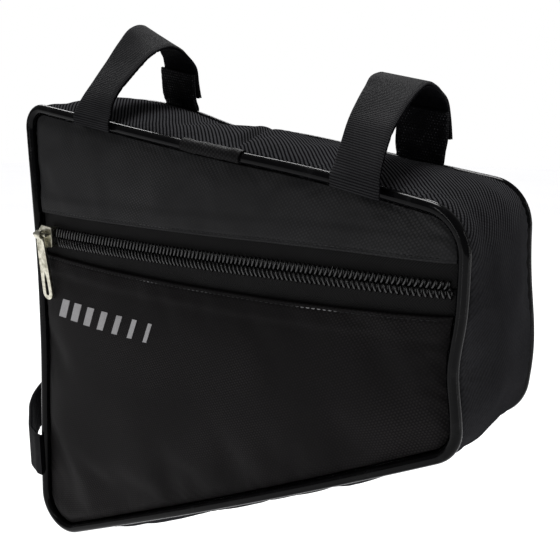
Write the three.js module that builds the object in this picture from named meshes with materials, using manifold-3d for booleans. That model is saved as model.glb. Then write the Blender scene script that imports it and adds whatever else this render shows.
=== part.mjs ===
// Triangular bicycle frame bag of black polyester: two puffed side panels, a band of cloth all
// round between them, piping on both seams, a coil zip across the front and three strap loops.
// Millimetres. X runs along the zip, Y from the front panel to the back panel, Z is up.
// The origin lies on the axis of the top tube, above the middle of the bag's width.

import * as THREE from 'three';
import * as BufferGeometryUtils from 'three/addons/utils/BufferGeometryUtils.js';
import Module from 'manifold-3d';

const wasm = await Module();
wasm.setup();

// Bag outline, seen from the front
const BAG_WIDTH = 204.5;
const LEFT_HEIGHT = 207;
const RIGHT_HEIGHT = 76;
const TOP_SLOPE_DEG = 9.7;
const LEFT_LEAN = 5;
const LEAN_FADE = { from: 0.5, to: 0.95 };
const LEFT_BOW = 2;
const BOW_SHARE = 0.34;
const BOW_REACH = 0.22;
const TUBE_AXIS_ABOVE_BAG = 18;
const CORNER_RADIUS = { topLeft: 10, topRight: 17, bottomRight: 13, bottomLeft: 16 };
const BOTTOM_SAG = 1.6;
const TOP_HUMP = 1.7;
const HUMP_SHARE = 0.74;
const HUMP_REACH = 0.2;
const HUMP_FADE = { from: 0.6, to: 1 };

// Bag depth and how its soft walls stand out
const BAG_DEPTH = 56;
const BACK_RISE = 4.6;
const RISE_FADE = { from: -0.15, to: 0.15 };
const FRONT_PUFF = 7;
const BACK_PUFF = 6;
const BAND_BULGE = { top: 3, right: 3.2, bottom: 5.5, left: 5, corner: 1.5 };
const WAIST_DEPTH = 2.2;
const WAIST_REACH = 13;
const WAIST_SHARE = 0.36;
const WAIST_FADE = { from: 0.5, to: 0.94 };
const TOP_CREASE_DEPTH = 3.2;
const TOP_CREASE_REACH = 20;
const TOP_CREASE_SHARE = 0.36;
const BACK_NARROWING = 1.2;
const BACK_SWELL = 3.5;
const SWELL_SHARE = 0.28;
const SWELL_REACH = 0.3;
const LOBE_DROP = 5.8;

// Cloth, piping and gaps
const CLOTH = 1.5;
const PIPING_RADIUS = 2;
const GAP = 0.3;
const PANEL_GAP = 0.55;
const PANEL_RECESS = 0.4;
const COVER_WALL = 0.8;
const COVER_STATIONS = { from: 5, to: 8 };
const COVER_ANGLES_DEG = [-35, 0, 35, 70, 100, 125];
const HEM_PROUD = 0.5;
const HEM_SHARE = 0.12;

// Zip
const TAPE_THICKNESS = 1;
const TAPE_TUCK = 4;
const COIL_PITCH = 1.85;
const COIL_WIDTH = 3.5;
const COIL_THICKNESS = 2.8;
const COIL_SPLIT = 0.4;
const COIL_DIP = 0.72;
const ZIP_SLOPE_DEG = 0.3;
const ZIP_BELOW_TUBE = 58.4;
const HEM_ABOVE = { left: 9.8, right: 7.6 };
const HEM_BELOW = { left: 7.6, middle: 10, right: 7.9 };

// Slider and pull
const SLIDER_LENGTH = 8.6;
const SLIDER_WIDTH = 9.8;
const SLIDER_PLATE = 1.2;
const SLIDER_FLANGE = 0.9;
const SLIDER_INSET = 8;
const SLIDER_NOSE_LENGTH = 2.6;
const SLIDER_NOSE_WIDTH = 4.4;
const SLIDER_TAIL_WIDTH = 8.4;
const SLIDER_WEDGE = 3;
const FLANGE_SETBACK = 0.4;
const BRIDGE_RADIUS = 0.8;
const BRIDGE_RAISE = 1.2;
const EYE_CLEARANCE = 0.35;
const EYE_WALL = 0.8;
const EYE_LENGTH = 3.4;
const PULL_LENGTH = 29;
const PULL_THICKNESS = 1.2;
const PULL_TOP_WIDTH = 4.6;
const PULL_END_WIDTH = 6;
const PULL_SLOT_LENGTH = 9.4;
const PULL_SLOT_WIDTH = 2.1;
const PULL_TILT_DEG = 6;

// Strap loops
const STRAP_WIDTH = 20;
const STRAP_THICKNESS = 2;
const LOOP_HEIGHT = 36;
const STRAP_LAP = 11;
const STRAP_TUCK = 3.6;
const TOP_TAB_SPLAY = -3.2;
const LAP_RAMP = { length: 0.1, level: 0.005 };
const FREE_END = { left: 9, right: 13, side: 14 };
const RIGHT_FOOT_YAW_DEG = 10;
const TOP_LOOP_INSET = { left: 45.25, right: 37.25 };
const TOP_LOOP_DRIFT = -7;
const SIDE_LOOP_DRIFT = 22;
const SIDE_LOOP_BELOW_CORNER = 162;

// How finely the soft forms are divided
const CORNER_STEPS = 5;
const EDGE_STEPS = { top: 11, right: 9, bottom: 14, left: 7 };
const PIPING_SIDES = 8;
const PANEL_MIDDLE_COLUMNS = 11;
const PANEL_END_SHARES = [0, 0.07, 0.29, 0.62];
const BAND_ROWS = [0, 0.06, 0.2, 0.42, 0.68, 0.88, 1];
const FRONT_ROWS = [0, 0.02, 0.09, 0.2, 0.36, 0.52, 0.7, 0.86, 0.95, 1];
const BACK_ROWS = [0, 0.02, 0.08, 0.2, 0.4, 0.6, 0.8, 0.92, 0.98, 1];
const TAPE_ROWS = [0, 0.5, 1];
const STRAP_STEPS = 22;
const LAP_SEARCH_STEP = 0.005;

const CLOTH_COLOUR = 0x1b1b1e;
const PIPING_COLOUR = 0x141416;
const STRAP_COLOUR = 0x222224;
const COIL_COLOUR = 0x101011;
const METAL_COLOUR = 0xbcb49c;

const radians = THREE.MathUtils.degToRad;
const lerp = THREE.MathUtils.lerp;
const clamp = THREE.MathUtils.clamp;
const bell = (t) => Math.exp(-t * t);

const TOP_SLOPE = Math.tan(radians(TOP_SLOPE_DEG));
const HALF_WIDTH = BAG_WIDTH / 2;
const FRONT_Y = -BAG_DEPTH / 2;
const BACK_Y = BAG_DEPTH / 2;
const TOP_LEFT_Z = -TUBE_AXIS_ABOVE_BAG + TOP_SLOPE * HALF_WIDTH;
const BOTTOM_LEFT_Z = TOP_LEFT_Z - LEFT_HEIGHT;
const BOTTOM_RIGHT_Z = TOP_LEFT_Z - TOP_SLOPE * BAG_WIDTH - RIGHT_HEIGHT;
const BOTTOM_SLOPE = (BOTTOM_RIGHT_Z - BOTTOM_LEFT_Z) / BAG_WIDTH;

const topLine = (x) => TOP_LEFT_Z - TOP_SLOPE * (x + HALF_WIDTH);
const bottomLine = (x) => BOTTOM_LEFT_Z + BOTTOM_SLOPE * (x + HALF_WIDTH);

// Outline: one rounded corner between each side and the next
const unit = (x, z) => new THREE.Vector2(x, z).normalize();
const NORMAL = {
  top: unit(TOP_SLOPE, 1),
  right: unit(1, 0),
  bottom: unit(BOTTOM_SLOPE, -1),
  left: unit(-1, 0),
};

function cornerCentre(radius, side, sideSign) {
  // Centre of an arc that touches an upright side and the top or bottom line
  const x = sideSign * (HALF_WIDTH - radius);
  const normal = NORMAL[side];
  const line = side === 'top' ? topLine(x) : bottomLine(x);
  return new THREE.Vector2(x, line - radius / normal.y);
}

const CORNERS = {
  topLeft: { centre: cornerCentre(CORNER_RADIUS.topLeft, 'top', -1), radius: CORNER_RADIUS.topLeft },
  topRight: { centre: cornerCentre(CORNER_RADIUS.topRight, 'top', 1), radius: CORNER_RADIUS.topRight },
  bottomRight: {
    centre: cornerCentre(CORNER_RADIUS.bottomRight, 'bottom', 1),
    radius: CORNER_RADIUS.bottomRight,
  },
  bottomLeft: {
    centre: cornerCentre(CORNER_RADIUS.bottomLeft, 'bottom', -1),
    radius: CORNER_RADIUS.bottomLeft,
  },
};

// Clockwise from the top left: each side, then the corner at its end
const WALK = [
  { side: 'top', from: 'topLeft', to: 'topRight' },
  { side: 'right', from: 'topRight', to: 'bottomRight' },
  { side: 'bottom', from: 'bottomRight', to: 'bottomLeft' },
  { side: 'left', from: 'bottomLeft', to: 'topLeft' },
];

// Where the bottom of the band hangs lower: places and reaches are shares of the bag's width
const BOTTOM_LOBES = [
  { across: 0.235, reach: 0.125, drop: 1 },
  { across: 0.78, reach: 0.09, drop: 0.2 },
];

function bottomLobe(x) {
  const share = (x + HALF_WIDTH) / BAG_WIDTH;
  const drops = BOTTOM_LOBES.map(({ across, reach, drop }) => drop * bell((share - across) / reach));
  return LOBE_DROP * drops.reduce((sum, drop) => sum + drop, 0);
}

function outlineStations() {
  // Points of the outer outline with their outward normals and the bulge of the band there
  const stations = [];
  WALK.forEach(({ side, from, to }, index) => {
    const normal = NORMAL[side];
    const start = CORNERS[from].centre.clone().addScaledVector(normal, CORNERS[from].radius);
    const end = CORNERS[to].centre.clone().addScaledVector(normal, CORNERS[to].radius);
    const steps = EDGE_STEPS[side];
    for (let i = 0; i < steps; i += 1) {
      const share = i / steps;
      const swell = Math.sqrt(Math.sin(Math.PI * share));
      const point = start.clone().lerp(end, share);
      const lobe = side === 'bottom' ? bottomLobe(point.x) : 0;
      const bulge = lerp(BAND_BULGE.corner, BAND_BULGE[side] + lobe, swell);
      stations.push({ point, normal, bulge });
    }
    const next = NORMAL[WALK[(index + 1) % WALK.length].side];
    const first = Math.atan2(normal.y, normal.x);
    let last = Math.atan2(next.y, next.x);
    if (last > first) last -= 2 * Math.PI;
    for (let i = 0; i < CORNER_STEPS; i += 1) {
      const angle = lerp(first, last, i / CORNER_STEPS);
      const turned = new THREE.Vector2(Math.cos(angle), Math.sin(angle));
      const point = CORNERS[to].centre.clone().addScaledVector(turned, CORNERS[to].radius);
      stations.push({ point, normal: turned, bulge: BAND_BULGE.corner });
    }
  });
  return stations;
}

const STATIONS = outlineStations();

function heightRange(x, inset) {
  // Lowest and highest Z of the outline, drawn in by inset, at a given X
  const range = { low: bottomLine(x) - inset / NORMAL.bottom.y, high: topLine(x) - inset / NORMAL.top.y };
  const arcs = [
    { corner: CORNERS.topLeft, normal: NORMAL.top, sign: -1, end: 'high' },
    { corner: CORNERS.topRight, normal: NORMAL.top, sign: 1, end: 'high' },
    { corner: CORNERS.bottomLeft, normal: NORMAL.bottom, sign: -1, end: 'low' },
    { corner: CORNERS.bottomRight, normal: NORMAL.bottom, sign: 1, end: 'low' },
  ];
  for (const { corner, normal, sign, end } of arcs) {
    const radius = corner.radius - inset;
    const across = x - corner.centre.x;
    if ((across - radius * normal.x) * sign > 0) {
      const rise = Math.sqrt(Math.max(radius * radius - across * across, 0));
      range[end] = corner.centre.y + (end === 'high' ? rise : -rise);
    }
  }
  return range;
}

function leftLean(z) {
  // How far the left side stands out at a height: it bows in above and leans out below
  const down = (TOP_LEFT_Z - z) / LEFT_HEIGHT;
  const out = LEFT_LEAN * THREE.MathUtils.smoothstep(down, LEAN_FADE.from, LEAN_FADE.to);
  return out - LEFT_BOW * bell((down - BOW_SHARE) / BOW_REACH);
}

function topHump(x) {
  // How far the front of the top edge stands above its straight line
  return TOP_HUMP * bell(((x + HALF_WIDTH) / BAG_WIDTH - HUMP_SHARE) / HUMP_REACH);
}

// Soft distortion that every piece of the bag follows
function slump(p) {
  const depthShare = clamp((p.y - FRONT_Y) / BAG_DEPTH, 0, 1);
  const acrossShare = clamp((p.x + HALF_WIDTH) / BAG_WIDTH, 0, 1);
  const low = bottomLine(p.x);
  const heightShare = clamp((p.z - low) / (topLine(p.x) - low), 0, 1);
  const waistZ = lerp(bottomLine(HALF_WIDTH), topLine(HALF_WIDTH), WAIST_SHARE);
  const creaseX = -HALF_WIDTH + TOP_CREASE_SHARE * BAG_WIDTH;
  const lean = (1 - acrossShare) * leftLean(p.z);
  const nearRight = THREE.MathUtils.smoothstep(acrossShare, WAIST_FADE.from, WAIST_FADE.to);
  const waist = WAIST_DEPTH * nearRight * bell((p.z - waistZ) / WAIST_REACH) * (1 - depthShare);
  const crease = TOP_CREASE_DEPTH * bell((p.x - creaseX) / TOP_CREASE_REACH);
  const nearTop = THREE.MathUtils.smoothstep(heightShare, HUMP_FADE.from, HUMP_FADE.to);
  const backRise = BACK_RISE * THREE.MathUtils.smoothstep(acrossShare, RISE_FADE.from, RISE_FADE.to);
  const rise = (backRise - crease) * depthShare * heightShare + topHump(p.x) * (1 - depthShare) * nearTop;
  const sag = BOTTOM_SAG * 4 * acrossShare * (1 - acrossShare) * (1 - heightShare);
  const swell = BACK_SWELL * bell((heightShare - SWELL_SHARE) / SWELL_REACH) - BACK_NARROWING;
  const x = p.x - lean - waist + nearRight * depthShare * swell;
  return new THREE.Vector3(x, p.y, p.z + rise - sag);
}

function puff(x, z) {
  // How far a panel stands out at a point, as a share: 0 at the piping, 1 in the middle
  const inset = 2 * PIPING_RADIUS;
  const across = clamp((x + HALF_WIDTH - inset) / (BAG_WIDTH - 2 * inset), 0, 1);
  const { low, high } = heightRange(clamp(x, inset - HALF_WIDTH, HALF_WIDTH - inset), inset);
  const up = clamp((z - low) / Math.max(high - low, 1e-6), 0, 1);
  return Math.sqrt(4 * across * (1 - across)) * Math.sqrt(4 * up * (1 - up));
}

// Mesh helpers
function solid(points, faces) {
  const geometry = new THREE.BufferGeometry();
  const flat = points.flatMap((p) => [p.x, p.y, p.z]);
  geometry.setAttribute('position', new THREE.Float32BufferAttribute(flat, 3));
  let volume = 0;
  for (const [a, b, c] of faces) {
    volume += points[a].dot(new THREE.Vector3().crossVectors(points[b], points[c]));
  }
  const ordered = volume < 0 ? faces.map(([a, b, c]) => [a, c, b]) : faces;
  geometry.setIndex(ordered.flat());
  return geometry;
}

function slab(outer, inner, wrap = false) {
  // Closed sheet between two grids of points; wrap closes the rows on themselves
  const rows = outer.length;
  const columns = outer[0].length;
  const points = [...outer.flat(), ...inner.flat()];
  const half = rows * columns;
  const at = (layer, i, j) => layer * half + (i % rows) * columns + j;
  const faces = [];
  const quad = (a, b, c, d) => faces.push([a, b, c], [a, c, d]);
  const last = wrap ? rows : rows - 1;
  for (let i = 0; i < last; i += 1) {
    for (let j = 0; j < columns - 1; j += 1) {
      quad(at(0, i, j), at(0, i, j + 1), at(0, i + 1, j + 1), at(0, i + 1, j));
      quad(at(1, i, j), at(1, i + 1, j), at(1, i + 1, j + 1), at(1, i, j + 1));
    }
    quad(at(0, i, 0), at(0, i + 1, 0), at(1, i + 1, 0), at(1, i, 0));
    const end = columns - 1;
    quad(at(0, i, end), at(1, i, end), at(1, i + 1, end), at(0, i + 1, end));
  }
  if (!wrap) {
    for (let j = 0; j < columns - 1; j += 1) {
      quad(at(0, 0, j), at(1, 0, j), at(1, 0, j + 1), at(0, 0, j + 1));
      quad(at(0, last, j), at(0, last, j + 1), at(1, last, j + 1), at(1, last, j));
    }
  }
  return solid(points, faces);
}

function loft(sections, closed = false) {
  // Skin over a row of equal sections; open rows get flat ends
  const sides = sections[0].length;
  const count = sections.length;
  const points = sections.flat();
  const at = (i, j) => (i % count) * sides + (j % sides);
  const faces = [];
  for (let i = 0; i < (closed ? count : count - 1); i += 1) {
    for (let j = 0; j < sides; j += 1) {
      faces.push([at(i, j), at(i + 1, j), at(i + 1, j + 1)], [at(i, j), at(i + 1, j + 1), at(i, j + 1)]);
    }
  }
  if (!closed) {
    for (let j = 1; j < sides - 1; j += 1) {
      faces.push([at(0, 0), at(0, j), at(0, j + 1)]);
      faces.push([at(count - 1, 0), at(count - 1, j + 1), at(count - 1, j)]);
    }
  }
  return solid(points, faces);
}

function toManifold(geometry) {
  const bare = geometry.clone();
  bare.deleteAttribute('normal');
  bare.deleteAttribute('uv');
  const merged = BufferGeometryUtils.mergeVertices(bare, 1e-4);
  const vertProperties = Float32Array.from(merged.attributes.position.array);
  const triVerts = Uint32Array.from(merged.index.array);
  return new wasm.Manifold(new wasm.Mesh({ numProp: 3, vertProperties, triVerts }));
}

function join(geometries) {
  const whole = geometries.map(toManifold).reduce((a, b) => a.add(b)).getMesh();
  const geometry = new THREE.BufferGeometry();
  geometry.setAttribute('position', new THREE.Float32BufferAttribute(whole.vertProperties, 3));
  geometry.setIndex(Array.from(whole.triVerts));
  return geometry;
}

const bag = new THREE.Group();

function add(name, geometry, colour, roughness, metalness = 0) {
  const material = new THREE.MeshStandardMaterial({ color: colour, roughness, metalness });
  const mesh = new THREE.Mesh(geometry, material);
  mesh.name = name;
  bag.add(mesh);
  return mesh;
}

// Band of cloth between the two panels
function gusset() {
  const first = FRONT_Y + PIPING_RADIUS + GAP;
  const last = BACK_Y - PIPING_RADIUS - GAP;
  const drawnIn = PIPING_RADIUS / 2;
  const layer = (depthIn) => STATIONS.map(({ point, normal, bulge }) => BAND_ROWS.map((share) => {
    const out = bulge * Math.sqrt(Math.sin(Math.PI * share)) - drawnIn - depthIn;
    const x = point.x + normal.x * out;
    const z = point.y + normal.y * out;
    return slump(new THREE.Vector3(x, lerp(first, last, share), z));
  }));
  add('gusset', slab(layer(0), layer(CLOTH), true), CLOTH_COLOUR, 0.85);
}

// Piping on the front and back seams
function ringSection({ point, normal }, y, radius, angles) {
  const x = point.x - normal.x * PIPING_RADIUS;
  const z = point.y - normal.y * PIPING_RADIUS;
  return angles.map((angle) => {
    const out = radius * Math.cos(angle);
    return slump(new THREE.Vector3(x + normal.x * out, y - radius * Math.sin(angle), z + normal.y * out));
  });
}

function piping(name, y) {
  const angles = Array.from({ length: PIPING_SIDES }, (_, i) => 2 * Math.PI * i / PIPING_SIDES);
  const sections = STATIONS.map((station) => ringSection(station, y, PIPING_RADIUS, angles));
  add(name, loft(sections, true), PIPING_COLOUR, 0.3);
}

// Cloth sleeve over the joint of the front piping, on the top edge
function pipingJointCover() {
  const angles = COVER_ANGLES_DEG.map(radians);
  const covered = STATIONS.slice(COVER_STATIONS.from, COVER_STATIONS.to);
  const layer = (radius) => covered.map((station) => ringSection(station, FRONT_Y, radius, angles));
  const inner = PIPING_RADIUS + GAP;
  add('piping_joint_cover', slab(layer(inner + COVER_WALL), layer(inner)), CLOTH_COLOUR, 0.85);
}

// Panels
const PANEL_INSET = 2 * PIPING_RADIUS + PANEL_GAP;
const PANEL_HALF = HALF_WIDTH - PANEL_INSET;

function panelColumns() {
  // Close together round the corners, even between them
  const reach = CORNER_RADIUS.topLeft;
  const ends = PANEL_END_SHARES.map((share) => -PANEL_HALF + share * reach);
  const middle = Array.from({ length: PANEL_MIDDLE_COLUMNS }, (_, i) => (
    (PANEL_HALF - reach) * (2 * i / (PANEL_MIDDLE_COLUMNS - 1) - 1)));
  return [...ends, ...middle, ...ends.map((x) => -x).reverse()];
}

const columns = panelColumns();
const frontSkin = (x, z) => FRONT_Y + PANEL_RECESS - FRONT_PUFF * puff(x, z);
const backSkin = (x, z) => BACK_Y - PANEL_RECESS + BACK_PUFF * puff(x, z);

function panel(name, rows, bounds, skin, inward, proud = () => 0) {
  const layer = (depthIn, lift) => columns.map((x) => rows.map((share) => {
    const { low, high } = bounds(x);
    const z = lerp(low, high, share);
    const y = skin(x, z) + inward * (depthIn - lift * proud(share));
    return slump(new THREE.Vector3(x, y, z));
  }));
  add(name, slab(layer(0, 1), layer(CLOTH, 0)), CLOTH_COLOUR, 0.85);
}

// Zip: its middle line and the folded edges of the cloth above and below it
const ZIP_SLOPE = Math.tan(radians(ZIP_SLOPE_DEG));
const zipLine = (x) => -ZIP_BELOW_TUBE - ZIP_SLOPE * x;

function hemLine(x, side) {
  const share = (x + HALF_WIDTH) / BAG_WIDTH;
  if (side === 'above') return zipLine(x) + lerp(HEM_ABOVE.left, HEM_ABOVE.right, share);
  const ends = lerp(HEM_BELOW.left, HEM_BELOW.right, share);
  const middle = HEM_BELOW.middle - (HEM_BELOW.left + HEM_BELOW.right) / 2;
  return zipLine(x) - ends - middle * 4 * share * (1 - share);
}

const hemFold = (fromHem) => (fromHem < HEM_SHARE ? HEM_PROUD : 0);

function frontPanels() {
  const upper = (x) => ({ low: hemLine(x, 'above'), high: heightRange(x, PANEL_INSET).high });
  const lower = (x) => ({ low: hemLine(x, 'below'), high: heightRange(x, PANEL_INSET).low });
  panel('front_panel_upper', FRONT_ROWS, upper, frontSkin, 1, hemFold);
  panel('front_panel_lower', FRONT_ROWS, lower, frontSkin, 1, hemFold);
}

function backPanel() {
  panel('back_panel', BACK_ROWS, (x) => heightRange(x, PANEL_INSET), backSkin, -1);
}

const tapeSkin = (x, z) => frontSkin(x, z) + CLOTH + GAP;

function zipTape(name, side) {
  const sign = side === 'above' ? 1 : -1;
  const layer = (depthIn) => columns.map((x) => TAPE_ROWS.map((share) => {
    const z = lerp(zipLine(x) + sign * COIL_SPLIT / 2, hemLine(x, side) + sign * TAPE_TUCK, share);
    return slump(new THREE.Vector3(x, tapeSkin(x, z) + depthIn, z));
  }));
  add(name, slab(layer(0), layer(TAPE_THICKNESS)), CLOTH_COLOUR, 0.8);
}

// The coil rows are ribbed bars, one rib for each turn of the coil
const SLIDER_LEFT = -PANEL_HALF + SLIDER_INSET - SLIDER_LENGTH / 2;
const COIL_START = SLIDER_LEFT + SLIDER_LENGTH + GAP;

function zipCoil(name, side) {
  const sign = side === 'above' ? 1 : -1;
  const turns = Math.floor((PANEL_HALF - COIL_START) / COIL_PITCH);
  const stagger = side === 'above' ? 0 : 1;
  const sections = Array.from({ length: 2 * turns + 1 }, (_, i) => {
    const x = COIL_START + COIL_PITCH * (i / 2);
    const crest = (i + stagger) % 2 === 0 ? 1 : COIL_DIP;
    const near = zipLine(x) + sign * COIL_SPLIT / 2;
    const far = near + sign * COIL_WIDTH * crest;
    const seat = tapeSkin(x, zipLine(x)) - GAP;
    const top = seat - COIL_THICKNESS * crest;
    const ring = [[seat, near], [top, near], [top, far], [seat, far]];
    return ring.map(([y, z]) => slump(new THREE.Vector3(x, y, z)));
  });
  add(name, loft(sections), COIL_COLOUR, 0.35);
}

// Slider with its bridge, and the pull that hangs on the bridge
const SLIDER_X = SLIDER_LEFT + SLIDER_LENGTH / 2;
const SLIDER_Z = zipLine(SLIDER_X);
const SLIDER_SEAT = tapeSkin(SLIDER_LEFT + SLIDER_LENGTH, SLIDER_Z) - GAP;
const PLATE_BACK = SLIDER_SEAT - COIL_THICKNESS - GAP;
const PLATE_FRONT = PLATE_BACK - SLIDER_PLATE;
const EYE_INNER = BRIDGE_RADIUS + EYE_CLEARANCE;
const EYE_OUTER = EYE_INNER + EYE_WALL;
const BRIDGE_Y = PLATE_FRONT - GAP - EYE_OUTER;
const BRIDGE_Z = SLIDER_Z + BRIDGE_RAISE;
const sliderShift = slump(new THREE.Vector3(SLIDER_X, SLIDER_SEAT, SLIDER_Z)).x - SLIDER_X;

function box(x, y, z, width, depth, height) {
  return new THREE.BoxGeometry(width, depth, height).translate(x, y, z);
}

function zipSlider() {
  const noseX = -SLIDER_LENGTH / 2;
  const shoulderX = noseX + SLIDER_NOSE_LENGTH;
  const tailX = SLIDER_LENGTH / 2;
  const shape = new THREE.Shape();
  shape.moveTo(noseX, -SLIDER_NOSE_WIDTH / 2);
  shape.lineTo(shoulderX, -SLIDER_WIDTH / 2);
  shape.lineTo(tailX, -SLIDER_TAIL_WIDTH / 2);
  shape.lineTo(tailX, SLIDER_TAIL_WIDTH / 2);
  shape.lineTo(shoulderX, SLIDER_WIDTH / 2);
  shape.lineTo(noseX, SLIDER_NOSE_WIDTH / 2);
  const plate = new THREE.ExtrudeGeometry(shape, { depth: SLIDER_PLATE, bevelEnabled: false });
  plate.rotateX(Math.PI / 2).translate(SLIDER_X, PLATE_BACK, SLIDER_Z);
  const flangeDepth = SLIDER_SEAT - PLATE_BACK + SLIDER_PLATE / 2;
  const flangeY = SLIDER_SEAT - flangeDepth / 2;
  const flangeZ = (SLIDER_TAIL_WIDTH - SLIDER_FLANGE) / 2;
  const flangeLength = SLIDER_LENGTH - SLIDER_NOSE_LENGTH - FLANGE_SETBACK;
  const flangeX = SLIDER_X + SLIDER_NOSE_LENGTH / 2;
  const flanges = [-1, 1].map((sign) => box(
    flangeX, flangeY, SLIDER_Z + sign * flangeZ, flangeLength, flangeDepth, SLIDER_FLANGE,
  ));
  const wedgeX = SLIDER_X + noseX + (SLIDER_NOSE_LENGTH + FLANGE_SETBACK) / 2;
  const wedge = box(wedgeX, flangeY, SLIDER_Z, SLIDER_NOSE_LENGTH, flangeDepth, SLIDER_WEDGE);
  const reach = EYE_LENGTH / 2 + 2 * GAP + BRIDGE_RADIUS;
  const legDepth = PLATE_FRONT - BRIDGE_Y + SLIDER_PLATE / 2;
  const legs = [-1, 1].map((sign) => new THREE.CylinderGeometry(
    BRIDGE_RADIUS, BRIDGE_RADIUS, legDepth, 8,
  ).translate(SLIDER_X + sign * reach, BRIDGE_Y + legDepth / 2, BRIDGE_Z));
  const bar = new THREE.CylinderGeometry(BRIDGE_RADIUS, BRIDGE_RADIUS, 2 * reach + 2 * BRIDGE_RADIUS, 10);
  bar.rotateZ(Math.PI / 2).translate(SLIDER_X, BRIDGE_Y, BRIDGE_Z);
  const mesh = add('zip_slider', join([plate, ...flanges, wedge, ...legs, bar]), METAL_COLOUR, 0.35, 0.9);
  mesh.position.x = sliderShift;
}

function zipPull() {
  const ring = new THREE.Shape().absarc(0, 0, EYE_OUTER, 0, 2 * Math.PI);
  ring.holes.push(new THREE.Path().absarc(0, 0, EYE_INNER, 0, 2 * Math.PI, true));
  const eye = new THREE.ExtrudeGeometry(ring, { depth: EYE_LENGTH, bevelEnabled: false, curveSegments: 8 });
  eye.rotateY(Math.PI / 2).translate(-EYE_LENGTH / 2, 0, 0);
  const top = -(EYE_INNER + EYE_OUTER) / 2;
  const endCentre = -PULL_LENGTH + PULL_END_WIDTH / 2;
  const outline = new THREE.Shape();
  outline.moveTo(-EYE_LENGTH / 2, top);
  outline.lineTo(-PULL_TOP_WIDTH / 2, top - EYE_WALL * 2);
  outline.lineTo(-PULL_END_WIDTH / 2, endCentre);
  outline.absarc(0, endCentre, PULL_END_WIDTH / 2, Math.PI, 2 * Math.PI);
  outline.lineTo(PULL_TOP_WIDTH / 2, top - EYE_WALL * 2);
  outline.lineTo(EYE_LENGTH / 2, top);
  const slot = new THREE.Path();
  const slotHalf = PULL_SLOT_WIDTH / 2;
  slot.moveTo(-slotHalf, endCentre);
  slot.quadraticCurveTo(-slotHalf, endCentre + PULL_SLOT_LENGTH * 0.7, 0, endCentre + PULL_SLOT_LENGTH);
  slot.quadraticCurveTo(slotHalf, endCentre + PULL_SLOT_LENGTH * 0.7, slotHalf, endCentre);
  slot.absarc(0, endCentre, slotHalf, 0, -Math.PI, true);
  outline.holes.push(slot);
  const blade = new THREE.ExtrudeGeometry(outline, {
    depth: PULL_THICKNESS, bevelEnabled: false, curveSegments: 8,
  });
  blade.rotateX(Math.PI / 2).translate(0, PULL_THICKNESS / 2, 0);
  const mesh = add('zip_pull', join([eye, blade]), METAL_COLOUR, 0.3, 0.9);
  mesh.position.set(SLIDER_X + sliderShift, BRIDGE_Y, BRIDGE_Z);
  mesh.rotation.x = radians(PULL_TILT_DEG);
}

// Strap loops. Each row of a table is a place on the way round a loop, from the foot in the front
// seam to the foot in the back seam: depth is a share of the bag's depth, height a share of the
// loop's height above the bag's edge; yaw turns the strap so that its near edge leads, tilt drops it.
const RIGHT_LOOP = [
  { depth: -0.08, height: 0.16, yaw: 16, tilt: 0 },
  { depth: -0.02, height: 0.34, yaw: 18, tilt: 0 },
  { depth: 0.07, height: 0.52, yaw: 17, tilt: 0 },
  { depth: 0.21, height: 0.68, yaw: 13, tilt: 0 },
  { depth: 0.36, height: 0.82, yaw: 8, tilt: 0 },
  { depth: 0.50, height: 0.92, yaw: 0, tilt: 1 },
  { depth: 0.66, height: 0.95, yaw: 0, tilt: 2 },
  { depth: 0.82, height: 0.89, yaw: -4, tilt: 2 },
  { depth: 0.94, height: 0.75, yaw: -8, tilt: 1 },
  { depth: 1.01, height: 0.56, yaw: -12, tilt: 0 },
  { depth: 1.04, height: 0.38, yaw: -12, tilt: 0 },
  { depth: 1.05, height: 0.24, yaw: -6, tilt: 0 },
];
const LEFT_LOOP = [
  { depth: -0.05, height: 0.08, yaw: 2, tilt: 0 },
  { depth: -0.01, height: 0.20, yaw: 8, tilt: 0 },
  { depth: 0.10, height: 0.38, yaw: 12, tilt: 2 },
  { depth: 0.26, height: 0.59, yaw: 10, tilt: 5 },
  { depth: 0.41, height: 0.78, yaw: 7, tilt: 10 },
  { depth: 0.56, height: 0.92, yaw: 3, tilt: 18 },
  { depth: 0.73, height: 0.97, yaw: 0, tilt: 20 },
  { depth: 0.88, height: 0.87, yaw: 0, tilt: 14 },
  { depth: 0.97, height: 0.67, yaw: 0, tilt: 6 },
  { depth: 1.00, height: 0.42, yaw: 0, tilt: 0 },
  { depth: 1.03, height: 0.24, yaw: 0, tilt: 0 },
];
const SIDE_LOOP = [
  { depth: -0.05, height: 0.10, yaw: 0, tilt: 0 },
  { depth: 0.00, height: 0.28, yaw: 0, tilt: 0 },
  { depth: 0.12, height: 0.52, yaw: 0, tilt: -2 },
  { depth: 0.24, height: 0.74, yaw: 0, tilt: -3 },
  { depth: 0.37, height: 0.88, yaw: 0, tilt: -3 },
  { depth: 0.53, height: 0.95, yaw: 0, tilt: -3 },
  { depth: 0.71, height: 0.90, yaw: 0, tilt: -3 },
  { depth: 0.88, height: 0.76, yaw: 0, tilt: -3 },
  { depth: 1.00, height: 0.54, yaw: 0, tilt: -2 },
  { depth: 1.06, height: 0.30, yaw: 0, tilt: 0 },
];

const FOOT_OUT = PIPING_RADIUS + GAP + STRAP_THICKNESS;
const LAP_LIFT = STRAP_THICKNESS + GAP;

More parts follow.
